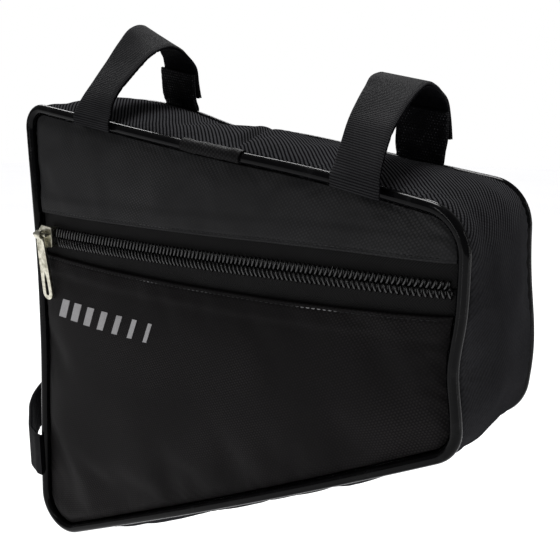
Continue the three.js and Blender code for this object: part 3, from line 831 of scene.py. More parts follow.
@dataclass(frozen=True)
class HookTape:
    """Hook tape on the inside of a short tab, with rows of hard hooks."""

    name: str = "hook_tape"
    base: tuple = (0.0022, 0.0022, 0.003)
    tip: tuple = (0.045, 0.045, 0.048)
    pitch: float = 1.15
    hook_edges: tuple = (0.45, 0.9)
    tangle_scale: float = 1100.0
    patch_scale: float = 150.0
    lit_edges: tuple = (0.42, 0.6)

    def make(self) -> bpy.types.Material:
        """Builds the material: staggered rows of shiny hooks on a dark ground.

        Returns:
            The material.
        """
        nodes = Nodes(self.name)
        u, v = nodes.weave_place()
        row = u / self.pitch
        stagger = (row.floor() * 0.5).fraction()
        along = (row.fraction() * math.pi).sine()
        across = ((v / self.pitch + stagger).fraction() * math.pi).sine()
        hooks = (along * across).ease(*self.hook_edges)
        place = nodes.place()
        tangle = nodes.noise(place, self.tangle_scale, 3.0, 0.7)
        patches = nodes.noise(place, self.patch_scale).ease(*self.lit_edges)
        lit = patches * tangle.ease(*self.lit_edges)
        colour = nodes.mix(hooks * lit, self.base, self.tip)
        return nodes.finish({
            "Base Color": colour, "Roughness": 0.75 - hooks * 0.35, "Specular IOR Level": 0.08,
            "Normal": nodes.bump(hooks + tangle * 0.4, 0.35, 0.9),
        })


@dataclass(frozen=True)
class Thread:
    """Black polyester sewing thread."""

    name: str = "sewing_thread"
    base: tuple = (0.006, 0.006, 0.0065)
    crest: tuple = (0.3, 0.3, 0.305)
    patch: float = 38.0
    patch_edges: tuple = (0.5, 0.62)
    fibre_scale: float = 3000.0
    fibre_edges: tuple = (0.2, 0.6)

    def make(self) -> bpy.types.Material:
        """Builds the material: a twisted thread with painted highlights in patches along the row.

        Returns:
            The material.
        """
        nodes = Nodes(self.name)
        place = nodes.place()
        fibres = nodes.noise(place, self.fibre_scale)
        # The light crest colour shows only in random patches, as painted highlights on the thread.
        painted_sheen_and_tone = nodes.noise(place, self.patch, 1.0).ease(*self.patch_edges)
        colour = nodes.mix(fibres.ease(*self.fibre_edges) * painted_sheen_and_tone, self.base, self.crest)
        return nodes.finish({
            "Base Color": colour, "Roughness": 0.5, "Specular IOR Level": 0.25,
            "Normal": nodes.bump(fibres, 0.05, 0.6),
        })


@dataclass(frozen=True)
class ReflectiveFilm:
    """Grey reflective film of the slanted bars."""

    name: str = "reflective_film"
    base: tuple = (0.24, 0.235, 0.24)
    bright: tuple = (0.34, 0.335, 0.34)
    bead_scale: float = 2400.0
    patch_scale: float = 90.0
    shown: tuple = (0.3, 0.7)

    def make(self) -> bpy.types.Material:
        """Builds the material: film that takes up the weave under it.

        Returns:
            The material.
        """
        nodes = Nodes(self.name)
        place = nodes.place()
        beads = nodes.noise(place, self.bead_scale)
        broad = nodes.noise(place, self.patch_scale)
        colour = nodes.mix((beads * 0.5 + broad * 0.5).ease(*self.shown), self.base, self.bright)
        return nodes.finish({
            "Base Color": colour, "Roughness": beads * 0.2 + 0.45, "Specular IOR Level": 0.4,
            "Normal": nodes.bump(beads, 0.04, 0.4),
        })


@dataclass(frozen=True)
class PaleFloor:
    """Plain pale floor under the bag."""

    name: str = "pale_floor"
    base: tuple = (0.86, 0.86, 0.87)
    patch: tuple = (0.83, 0.83, 0.84)
    patch_scale: float = 3.0

    def make(self) -> bpy.types.Material:
        """Builds the material: a matt pale board with a hardly visible mottle.

        Returns:
            The material.
        """
        nodes = Nodes(self.name)
        mottle = nodes.noise(nodes.place(), self.patch_scale)
        colour = nodes.mix(mottle, self.base, self.patch)
        return nodes.finish({"Base Color": colour, "Roughness": 0.9, "Specular IOR Level": 0.1})


# Form of the bag


@dataclass
class BagForm:
    """Outline and soft distortion of the bag, in mm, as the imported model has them."""

    width: float = 204.5
    left_height: float = 207.0
    right_height: float = 76.0
    top_slope_deg: float = 9.7
    left_lean: float = 5.0
    lean_from: float = 0.5
    lean_to: float = 0.95
    left_bow: float = 2.0
    bow_share: float = 0.34
    bow_reach: float = 0.22
    tube_above: float = 18.0
    corner_radius: dict = field(default_factory=lambda: {
        "top_left": 10.0, "top_right": 17.0, "bottom_right": 13.0, "bottom_left": 16.0})
    bottom_sag: float = 1.6
    top_hump: float = 1.7
    hump_share: float = 0.74
    hump_reach: float = 0.2
    hump_from: float = 0.6
    depth: float = 56.0
    back_rise: float = 4.6
    rise_from: float = -0.15
    rise_to: float = 0.15
    front_puff: float = 7.0
    back_puff: float = 6.0
    bulge: dict = field(default_factory=lambda: {
        "top": 3.0, "right": 3.2, "bottom": 5.5, "left": 5.0, "corner": 1.5})
    bottom_lobes: tuple = ((0.235, 0.125, 5.8), (0.78, 0.09, 1.16))
    waist_depth: float = 2.2
    waist_reach: float = 13.0
    waist_share: float = 0.36
    waist_from: float = 0.5
    waist_to: float = 0.94
    crease_depth: float = 3.2
    crease_reach: float = 20.0
    crease_share: float = 0.36
    back_narrowing: float = 1.2
    back_swell: float = 3.5
    swell_share: float = 0.28
    swell_reach: float = 0.3
    cloth: float = 1.5
    piping_radius: float = 2.0
    gap: float = 0.3
    panel_inset: float = 4.55
    panel_recess: float = 0.4

    def __post_init__(self) -> None:
        """Works out the lines, corners and normals of the outline."""
        self.half = self.width / 2
        self.front_y = -self.depth / 2
        self.back_y = self.depth / 2
        self.slope = math.tan(math.radians(self.top_slope_deg))
        self.top_left_z = -self.tube_above + self.slope * self.half
        self.bottom_left_z = self.top_left_z - self.left_height
        bottom_right_z = self.top_left_z - self.slope * self.width - self.right_height
        self.bottom_slope = (bottom_right_z - self.bottom_left_z) / self.width
        self.normals = {
            "top": self._unit(self.slope, 1), "right": self._unit(1, 0),
            "bottom": self._unit(self.bottom_slope, -1), "left": self._unit(-1, 0),
        }
        self.corners = {
            name: (self._corner(radius, name), radius) for name, radius in self.corner_radius.items()
        }

    @staticmethod
    def _unit(x: float, z: float) -> Array:
        """Returns a flat direction of length 1."""
        return np.array([x, z]) / math.hypot(x, z)

    def _corner(self, radius: float, name: str) -> Array:
        """Finds the centre of a corner's arc.

        Args:
            radius: Radius of the arc.
            name: Side and end of the corner.

        Returns:
            The centre, as X and Z.
        """
        side, end = name.split("_")
        x = (1 if end == "right" else -1) * (self.half - radius)
        line = self.top_line(x) if side == "top" else self.bottom_line(x)
        return np.array([x, line - radius / self.normals[side][1]])

    def top_line(self, x: Any) -> Any:
        """Returns the height of the straight top line."""
        return self.top_left_z - self.slope * (x + self.half)

    def bottom_line(self, x: Any) -> Any:
        """Returns the height of the straight bottom line."""
        return self.bottom_left_z + self.bottom_slope * (x + self.half)

    def outline(self, step: float) -> "Outline":
        """Walks round the outline, clockwise from the top left.

        Args:
            step: Greatest distance between points.

        Returns:
            The points with their normals, bulges and lengths.
        """
        walk = (("top", "top_left", "top_right"), ("right", "top_right", "bottom_right"),
                ("bottom", "bottom_right", "bottom_left"), ("left", "bottom_left", "top_left"))
        points, normals, bulges = [], [], []
        for index, (side, start_name, end_name) in enumerate(walk):
            normal = self.normals[side]
            start = self.corners[start_name][0] + normal * self.corners[start_name][1]
            centre, radius = self.corners[end_name]
            end = centre + normal * radius
            count = max(int(np.linalg.norm(end - start) / step), 2)
            for share in np.arange(count) / count:
                point = lerp(start, end, share)
                points.append(point)
                normals.append(normal)
                bulges.append(self._bulge(side, share, point[0]))
            after = self.normals[walk[(index + 1) % 4][0]]
            first = math.atan2(normal[1], normal[0])
            last = math.atan2(after[1], after[0])
            last -= 2 * math.pi if last > first else 0.0
            count = max(int((first - last) * radius / step), 6)
            for share in np.arange(count) / count:
                angle = lerp(first, last, share)
                turned = np.array([math.cos(angle), math.sin(angle)])
                points.append(centre + turned * radius)
                normals.append(turned)
                bulges.append(self.bulge["corner"])
        return Outline(np.array(points), np.array(normals), np.array(bulges))

    def _bulge(self, side: str, share: float, x: float) -> float:
        """Works out how far the band stands out at its middle.

        Args:
            side: Side of the outline.
            share: Place along that side, 0 to 1.
            x: X of the place.

        Returns:
            The bulge in mm.
        """
        swell = math.sin(math.pi * share) ** 0.6
        lobe = 0.0
        if side == "bottom":
            across = (x + self.half) / self.width
            for at, reach, drop in self.bottom_lobes:
                lobe += drop * math.exp(-((across - at) / reach) ** 2)
        return lerp(self.bulge["corner"], self.bulge[side] + lobe, swell)

    def height_range(self, x: Array, inset: float) -> tuple:
        """Measures the outline from bottom to top.

        Args:
            x: Places across.
            inset: How far the outline is drawn in.

        Returns:
            The lowest and the highest Z at each place.
        """
        low = self.bottom_line(x) - inset / self.normals["bottom"][1]
        high = self.top_line(x) - inset / self.normals["top"][1]
        for name, (centre, radius) in self.corners.items():
            side, end = name.split("_")
            sign = 1 if end == "right" else -1
            reach = radius - inset
            across = x - centre[0]
            rise = np.sqrt(np.maximum(reach ** 2 - across ** 2, 0.0))
            inside = (across - reach * self.normals[side][0]) * sign > 0
            if side == "top":
                high = np.where(inside, centre[1] + rise, high)
            else:
                low = np.where(inside, centre[1] - rise, low)
        return low, high

    def lean_at(self, z: Any) -> Any:
        """Works out how the left side bows in above and leans out below.

        Args:
            z: Heights.

        Returns:
            The distances in mm.
        """
        down = (self.top_left_z - z) / self.left_height
        out = self.left_lean * smoothstep(down, self.lean_from, self.lean_to)
        return out - self.left_bow * bell((down - self.bow_share) / self.bow_reach)

    def hump_at(self, x: Any) -> Any:
        """Returns how far the front of the top edge stands above its straight line."""
        return self.top_hump * bell(((x + self.half) / self.width - self.hump_share) / self.hump_reach)

    def slump(self, points: Array) -> Array:
        """Moves points by the soft distortion that every piece follows.

        Args:
            points: Points in mm, X, Y and Z along the last axis.

        Returns:
            The moved points.
        """
        x, y, z = np.moveaxis(points, -1, 0)
        depth = np.clip((y - self.front_y) / self.depth, 0, 1)
        across = np.clip((x + self.half) / self.width, 0, 1)
        low = self.bottom_line(x)
        height = np.clip((z - low) / (self.top_line(x) - low), 0, 1)
        waist_z = lerp(self.bottom_line(self.half), self.top_line(self.half), self.waist_share)
        crease_x = -self.half + self.crease_share * self.width
        lean = (1 - across) * self.lean_at(z)
        near_right = smoothstep(across, self.waist_from, self.waist_to)
        waist = self.waist_depth * near_right * bell((z - waist_z) / self.waist_reach) * (1 - depth)
        crease = self.crease_depth * bell((x - crease_x) / self.crease_reach)
        near_top = smoothstep(height, self.hump_from, 1.0)
        back_rise = self.back_rise * smoothstep(across, self.rise_from, self.rise_to)
        rise = (back_rise - crease) * depth * height + self.hump_at(x) * (1 - depth) * near_top
        sag = self.bottom_sag * 4 * across * (1 - across) * (1 - height)
        swell = self.back_swell * bell((height - self.swell_share) / self.swell_reach)
        moved = x - lean - waist + near_right * depth * (swell - self.back_narrowing)
        return np.stack([moved, y, z + rise - sag], -1)

    def puff(self, x: Array, z: Array) -> Array:
        """Works out how far a panel stands out.

        Args:
            x: Places across.
            z: Places up.

        Returns:
            Shares from 0 at the piping to 1 in the middle.
        """
        inset = 2 * self.piping_radius
        across = np.clip((x + self.half - inset) / (self.width - 2 * inset), 0, 1)
        low, high = self.height_range(np.clip(x, inset - self.half, self.half - inset), inset)
        up = np.clip((z - low) / np.maximum(high - low, 1e-6), 0, 1)
        return np.sqrt(4 * across * (1 - across)) * np.sqrt(4 * up * (1 - up))

    def front_skin(self, x: Array, z: Array) -> Array:
        """Returns the Y of the front panels' face."""
        return self.front_y + self.panel_recess - self.front_puff * self.puff(x, z)

    def back_skin(self, x: Array, z: Array) -> Array:
        """Returns the Y of the back panel's face."""
        return self.back_y - self.panel_recess + self.back_puff * self.puff(x, z)


@dataclass
class Outline:
    """Points round the bag with outward normals and the bulge of the band there."""

    points: Array
    normals: Array
    bulges: Array
    rounds: int = 12

    def __post_init__(self) -> None:
        """Measures the way round and evens out the bulges."""
        steps = np.linalg.norm(np.roll(self.points, -1, axis=0) - self.points, axis=1)
        self.length = np.concatenate([[0.0], np.cumsum(steps)[:-1]])
        self.total = float(steps.sum())
        for _ in range(self.rounds):
            self.bulges = (np.roll(self.bulges, 1) + 2 * self.bulges + np.roll(self.bulges, -1)) / 4

    def stand(self, out: Array) -> tuple:
        """Returns X and Z at distances outward from each point."""
        x, z = self.points[:, 0:1], self.points[:, 1:2]
        return x + self.normals[:, 0:1] * out, z + self.normals[:, 1:2] * out

    def ring(self, inward: float) -> Array:
        """Returns the outline drawn inward, as points in X and Z."""
        return self.points - self.normals * inward


# Cloth simulation


@dataclass
class Wrinkles:
    """Moves of a simulated cloth in mm, read smoothly between its points."""

    moves: Array
    closed: bool = False

    def _weights(self, share: Array, count: int, closed: bool) -> list:
        """Finds the four nearest rows with their cubic weights.

        Args:
            share: Places along the rows, 0 to 1.
            count: How many rows there are.
            closed: True if the last row meets the first.

        Returns:
            Four pairs of row numbers and weights.
        """
        place = share * (count if closed else count - 1)
        low = np.floor(place).astype(int)
        t = place - low
        parts = ((1 - t) ** 3, 3 * t ** 3 - 6 * t ** 2 + 4, 3 * (t + t ** 2 - t ** 3) + 1, t ** 3)
        rows = [low + k - 1 for k in range(4)]
        rows = [row % count if closed else np.clip(row, 0, count - 1) for row in rows]
        return [(row, part / 6) for row, part in zip(rows, parts)]

    def read(self, down: Array, across: Array) -> Array:
        """Reads the moves.

        Args:
            down: Place along the rows, 0 to 1.
            across: Place along the columns, 0 to 1.

        Returns:
            The moves there.
        """
        down, across = np.broadcast_arrays(down, across)
        total = np.zeros(down.shape + (3,))
        for i, first in self._weights(down, self.moves.shape[0], self.closed):
            for j, second in self._weights(across, self.moves.shape[1], False):
                total += self.moves[i, j] * (first * second)[..., None]
        return total


@dataclass
class ClothTest:
    """A simulation of a coarse cloth that is held at its seams and a little too large for them."""

    slack: float = 0.016
    pressure: float = 3.0
    frames: int = 20
    cap: float = 1.8
    quality: int = 8
    mass: float = 0.25
    stretch: float = 12.0
    shear: float = 6.0
    bend: float = 0.4

    def run(self, name: str, grid: Array, held: Array, closed: bool = False) -> Wrinkles:
        """Simulates a grid of points.

        Args:
            name: Name of the copy while it exists.
            grid: Points in mm, rows by columns.
            held: True where a seam holds the point.
            closed: True if the last row meets the first.
        """
        number = np.arange(grid.shape[0] * grid.shape[1]).reshape(grid.shape[:2])
        first = np.vstack([number, number[:1]]) if closed else number
        corners = np.stack((first[:-1, :-1], first[1:, :-1], first[1:, 1:], first[:-1, 1:]), -1)
        data = bpy.data.meshes.new(name)
        data.from_pydata((grid.reshape(-1, 3) * MM).tolist(), [], corners.reshape(-1, 4).tolist())
        data.update()
        Maker.face_outwards(data)
        piece = bpy.data.objects.new(name, data)
        bpy.context.scene.collection.objects.link(piece)
        piece.vertex_groups.new(name="held").add(number[held].tolist(), 1.0, "REPLACE")
        self._add_cloth(piece)
        for frame_number in range(1, self.frames + 1):
            bpy.context.scene.frame_set(frame_number)
        after = np.empty(grid.size, np.float64)
        shaped = piece.evaluated_get(bpy.context.evaluated_depsgraph_get()).data
        shaped.vertices.foreach_get("co", after)
        bpy.context.scene.frame_set(1)
        bpy.data.objects.remove(piece)
        bpy.data.meshes.remove(data)
        moves = after.reshape(grid.shape) / MM - grid
        size = np.linalg.norm(moves, axis=-1, keepdims=True)
        moves = moves * (self.cap * np.tanh(size / self.cap) / np.maximum(size, 1e-9))
        log.info("%s: cloth moved %.2f mm at most", name, np.linalg.norm(moves, axis=-1).max())
        return Wrinkles(moves, closed)

    def _add_cloth(self, piece: bpy.types.Object) -> None:
        """Adds Blender's Cloth with pressure, a little slack and no gravity.

        Args:
            piece: The coarse cloth.
        """
        modifier = piece.modifiers.new("cloth", "CLOTH")
        cloth = modifier.settings
        cloth.quality = self.quality
        cloth.mass = self.mass
        cloth.tension_stiffness = self.stretch
        cloth.compression_stiffness = self.stretch
        cloth.shear_stiffness = self.shear
        cloth.bending_stiffness = self.bend
        cloth.vertex_group_mass = "held"
        cloth.use_pressure = True
        cloth.uniform_pressure_force = self.pressure
        cloth.shrink_min = -self.slack
        cloth.effector_weights.gravity = 0.0
        modifier.collision_settings.use_collision = False
        modifier.point_cache.frame_start = 1
        modifier.point_cache.frame_end = self.frames


# Sub-assemblies


@dataclass
class Gusset:
    """The band of ribbed cloth between the two panels."""

    form: BagForm
    step: float = 0.9
    rows: int = 44
    crowding: float = 0.45
    seam_reach: float = 0.16
    pucker: float = 0.32
    pucker_share: float = 0.6
    pucker_pitch: float = 5.2
    wobble: float = 0.6
    wobble_length: float = 22.0
    wave: float = 0.35
    wave_length: float = 46.0
    crease_from: float = 11.0
    crease_turn: float = -0.32
    crease_depth: float = 1.5
    crease_width: float = 1.2
    lip_offset: float = 3.5
    lip_width: float = 2.6
    cell: float = 4.2
    test_columns: int = 13
    test: ClothTest = field(default_factory=lambda: ClothTest(slack=0.014, pressure=2.5, cap=1.3))

    def wrinkle(self) -> Wrinkles:
        """Simulates the band as a coarse ring held at both seams.

        Returns:
            The moves of the band.
        """
        outline = self.form.outline(self.cell)
        share = np.linspace(0, 1, self.test_columns)
        rise = np.sqrt(np.sin(math.pi * share).clip(0, 1))
        out = outline.bulges[:, None] * rise - self.form.piping_radius / 2
        reach = self.form.depth / 2 - self.form.piping_radius - self.form.gap
        x, z = outline.stand(out)
        y = np.broadcast_to(lerp(-reach, reach, share)[None], x.shape)
        held = np.zeros(x.shape, bool)
        held[:, [0, -1]] = True
        return self.test.run("band_test", self.form.slump(np.stack([x, y, z], -1)), held, closed=True)

    def surface(self, depth_in: float) -> tuple:
        """Places the band's grid.

        Args:
            depth_in: How far it is drawn in from the outer face.

        Returns:
            Points in mm, and weave coordinates.
        """
        form = self.form
        outline = form.outline(self.step)
        share = (1 - np.cos(np.linspace(0, math.pi, self.rows))) / 2
        share = lerp(np.linspace(0, 1, self.rows), share, self.crowding)
        first = form.front_y + form.piping_radius + form.gap
        last = form.back_y - form.piping_radius - form.gap
        rise = np.sqrt(np.sin(math.pi * share).clip(0, 1))
        out = outline.bulges[:, None] * rise - form.piping_radius / 2 - depth_in
        u = np.broadcast_to(outline.length[:, None], out.shape)
        v = np.broadcast_to(lerp(first, last, share)[None], out.shape)
        out = out + self.relief(outline, u, v, share)
        x, z = outline.stand(out)
        even = (v - first) / (last - first)
        moved = self.wrinkles.read(u / outline.total, even)
        return form.slump(np.stack([x, v, z], -1)) + moved, np.stack([u, v], -1)

    def relief(self, outline: Outline, u: Array, v: Array, share: Array) -> Array:
        """Adds up the folds and puckers of the cloth.

        Args:
            outline: Points round the bag.
            u: Places round the band in mm.
            v: Places across it in mm.
            share: Places across it, 0 to 1.

        Returns:
            The height over the plain band in mm.
        """
        near_seam = bell(share / self.seam_reach) + bell((1 - share) / self.seam_reach)
        wobble = self.wobble * ripples(u, v, 3, self.wobble_length)
        puckers = np.sin(2 * math.pi * (u / self.pucker_pitch + wobble)) * near_seam[None]
        held = np.sin(math.pi * share).clip(0, 1)[None]
        broad = ripples(u, v, 5, self.wave_length) * held
        on_top = (outline.normals[:, 1] > 0.9)[:, None]
        along = outline.points[:, 0:1] - self.crease_from - (v + self.form.depth / 2) * self.crease_turn
        lip = 0.5 * self.crease_depth * bell((along + self.lip_offset) / self.lip_width)
        crease = -self.crease_depth * bell(along / self.crease_width) + lip
        small = self.pucker * puckers * self.pucker_share
        return small + self.wave * broad + np.where(on_top, crease, 0.0) * held

    def build(self, finish: RibbedCloth) -> None:
        """Builds and dresses the band.

        Args:
            finish: The cloth.
        """
        self.wrinkles = self.wrinkle()
        outer, uv = self.surface(0.0)
        inner, _ = self.surface(self.form.cloth)
        piece = Maker.sheet("gusset_cloth", outer, inner, uv, wrap=True)
        dress(piece, finish.make())
        settle(piece, BAG, "body_cloth", "gusset")


@dataclass
class Piping:
    """Glossy piping on both seams, and the cloth sleeve over its joint."""

    form: BagForm
    step: float = 1.6
    sides: int = 20
    sleeve_from: float = 81.0
    sleeve_to: float = 109.5
    sleeve_wall: float = 0.45
    sleeve_step: float = 0.8
    sleeve_columns: int = 18
    sleeve_angles: tuple = (-40.0, 128.0)
    sleeve_waviness: float = 0.12

    def rings(self, y: float, radius: float, angles: Array, outline: Outline) -> Array:
        """Places round sections along a seam.

        Args:
            y: Y of the seam.
            radius: Radius of the sections.
            angles: Angles of their corners.
            outline: Points round the bag.

        Returns:
            Points in mm, section by corner.
        """
        centre = outline.ring(self.form.piping_radius)
        out = radius * np.cos(angles)[None]
        x = centre[:, 0:1] + outline.normals[:, 0:1] * out
        z = centre[:, 1:2] + outline.normals[:, 1:2] * out
        deep = np.broadcast_to(y - radius * np.sin(angles)[None], x.shape)
        return self.form.slump(np.stack([x, deep, z], -1))

    def build(self, finish: GlossPiping) -> None:
        """Builds and dresses the two pipings.

        Args:
            finish: The vinyl.
        """
        outline = self.form.outline(self.step)
        angles = np.linspace(0, 2 * math.pi, self.sides, endpoint=False)
        material = finish.make()
        for node, y in (("piping_front", self.form.front_y), ("piping_back", self.form.back_y)):
            rings = self.rings(y, self.form.piping_radius, angles, outline)
            piece = Maker.sweep(f"{node}_vinyl", rings, closed=True)
            dress(piece, material)
            settle(piece, BAG, "piping", node)

    def build_sleeve(self, finish: PlainCloth) -> None:
        """Builds and dresses the sleeve over the joint.

        Args:
            finish: The cloth.
        """
        outline = self.form.outline(self.sleeve_step)
        length = outline.length
        kept = (length > self.sleeve_from) & (length < self.sleeve_to)
        part = Outline(outline.points[kept], outline.normals[kept], outline.bulges[kept])
        angles = np.radians(np.linspace(*self.sleeve_angles, self.sleeve_columns))
        inner_radius = self.form.piping_radius + self.form.gap
        inner = self.rings(self.form.front_y, inner_radius, angles, part)
        wave = self.sleeve_waviness * ripples(length[kept][:, None], angles[None] * 3, 8, 7.0)
        outer = self.rings(self.form.front_y, inner_radius + self.sleeve_wall, angles, part)
        outer = outer + unit_rows(outer - inner) * wave[..., None]
        u = np.broadcast_to(length[kept][:, None], wave.shape)
        v = np.broadcast_to(angles[None] * inner_radius, wave.shape)
        piece = Maker.sheet("piping_sleeve", outer, inner, np.stack([u, v], -1))
        dress(piece, finish.make())
        settle(piece, BAG, "body_cloth", "piping_joint_cover")


@dataclass
class Zip:
    """Where the zip runs, and its tapes and coil."""

    form: BagForm
    below_tube: float = 58.4
    slope_deg: float = 0.3
    hem_above: tuple = (9.8, 7.6)
    hem_below: tuple = (7.6, 10.0, 7.9)
    tape: float = 1.0
    tape_columns: int = 150
    tape_rows: int = 16
    tuck: float = 4.0
    coil_pitch: float = 1.85
    coil_width: tuple = (4.1, 2.8)
    coil_overlap: float = 0.45
    coil_slant: float = 0.2
    coil_height: float = 2.5
    coil_split: float = 0.4
    wire: float = 0.38
    steps_per_turn: int = 26
    wire_sides: int = 7
    wire_sharp_deg: float = 70.0
    turn_squareness: float = 0.75
    turn_lean: float = 0.22
    turn_roundness: float = 0.98
    tape_waviness: float = 0.12
    slider_inset: float = 8.0
    slider_length: float = 8.6

    @property
    def panel_half(self) -> float:
        """Returns half the width of the panels."""
        return self.form.half - self.form.panel_inset

    @property
    def slider_x(self) -> float:
        """Returns the slider's place along the zip."""
        return -self.panel_half + self.slider_inset

    def line(self, x: Any) -> Any:
        """Returns the height of the zip's middle line."""
        return -self.below_tube - math.tan(math.radians(self.slope_deg)) * x

    def hem(self, x: Any, side: Side) -> Any:
        """Works out the height of a folded edge.

        Args:
            x: Places across.
            side: Above or below the zip.

        Returns:
            The heights.
        """
        share = (x + self.form.half) / self.form.width
        if side is Side.ABOVE:
            return self.line(x) + lerp(*self.hem_above, share)
        left, middle, right = self.hem_below
        bow = (middle - (left + right) / 2) * 4 * share * (1 - share)
        return self.line(x) - lerp(left, right, share) - bow

    def tape_skin(self, x: Any, z: Any) -> Any:
        """Returns the Y of the tapes' face."""
        return self.form.front_skin(x, z) + self.form.cloth + self.form.gap

    def build_tapes(self, finish: ZipTape) -> None:
        """Builds and dresses the two tapes.

        Args:
            finish: The tape.
        """
        material = finish.make()
        columns = np.linspace(-self.panel_half, self.panel_half, self.tape_columns)
        shares = np.linspace(0, 1, self.tape_rows)
        for side, node in ((Side.ABOVE, "zip_tape_upper"), (Side.BELOW, "zip_tape_lower")):
            x = np.repeat(columns[:, None], len(shares), axis=1)
            start = self.line(x) + side.value * self.coil_split / 2
            z = lerp(start, self.hem(x, side) + side.value * self.tuck, shares[None])
            y = self.tape_skin(x, z) + self.tape_waviness * ripples(x, z, 12, 16.0)
            outer = self.form.slump(np.stack([x, y, z], -1))
            inner = self.form.slump(np.stack([x, y + self.tape, z], -1))
            piece = Maker.sheet(f"{node}_cloth", outer, inner, np.stack([x, z - start], -1))
            dress(piece, material)
            settle(piece, BAG, "zip_tape", node)

    def coil_path(self, side: Side) -> Array:
        """Winds one coil wire, turn by turn, in mm.

        Args:
            side: Above or below the zip's middle.

        Returns:
            Points of the path.
        """
        start = self.slider_x + self.slider_length / 2 + self.form.gap
        turns = int((self.panel_half - start - self.coil_pitch / 2) / self.coil_pitch)
        t = np.arange(turns * self.steps_per_turn + 1) / self.steps_per_turn
        phase = 0.0 if side is Side.ABOVE else 0.5
        angle = 2 * math.pi * t
        swing = np.cos(angle)
        flat = np.sign(swing) * np.abs(swing) ** self.turn_squareness
        lift = np.sin(angle)
        along = start + (t + phase) * self.coil_pitch + self.turn_lean * lift * self.coil_pitch
        share = (along + self.panel_half) / (2 * self.panel_half)
        width = lerp(*self.coil_width, share) + self.coil_overlap - 2 * self.wire
        out = (width / 2) * (1 - flat) - self.coil_overlap + self.wire + self.coil_split / 2
        along = along + self.coil_slant * out
        height = (self.coil_height / 2 - self.wire) * (1 + lift * self.turn_roundness) + self.wire
        z = self.line(along) + side.value * out
        y = self.tape_skin(along, self.line(along)) - self.form.gap - height
        return self.form.slump(np.stack([along, y, z], -1))

    def build_coils(self, finish: CoilNylon) -> None:
        """Builds and dresses the two coil wires.

        Args:
            finish: The nylon.
        """
        material = finish.make()
        for side, node in ((Side.ABOVE, "zip_coil_upper"), (Side.BELOW, "zip_coil_lower")):
            path = self.coil_path(side)
            rings = Maker.tube_rings(path, np.full(len(path), self.wire), self.wire_sides)
            piece = Maker.sweep(f"{node}_wire", rings, closed=False, sharp_deg=self.wire_sharp_deg)
            dress(piece, material)
            settle(piece, BAG, "zip_coil", node)


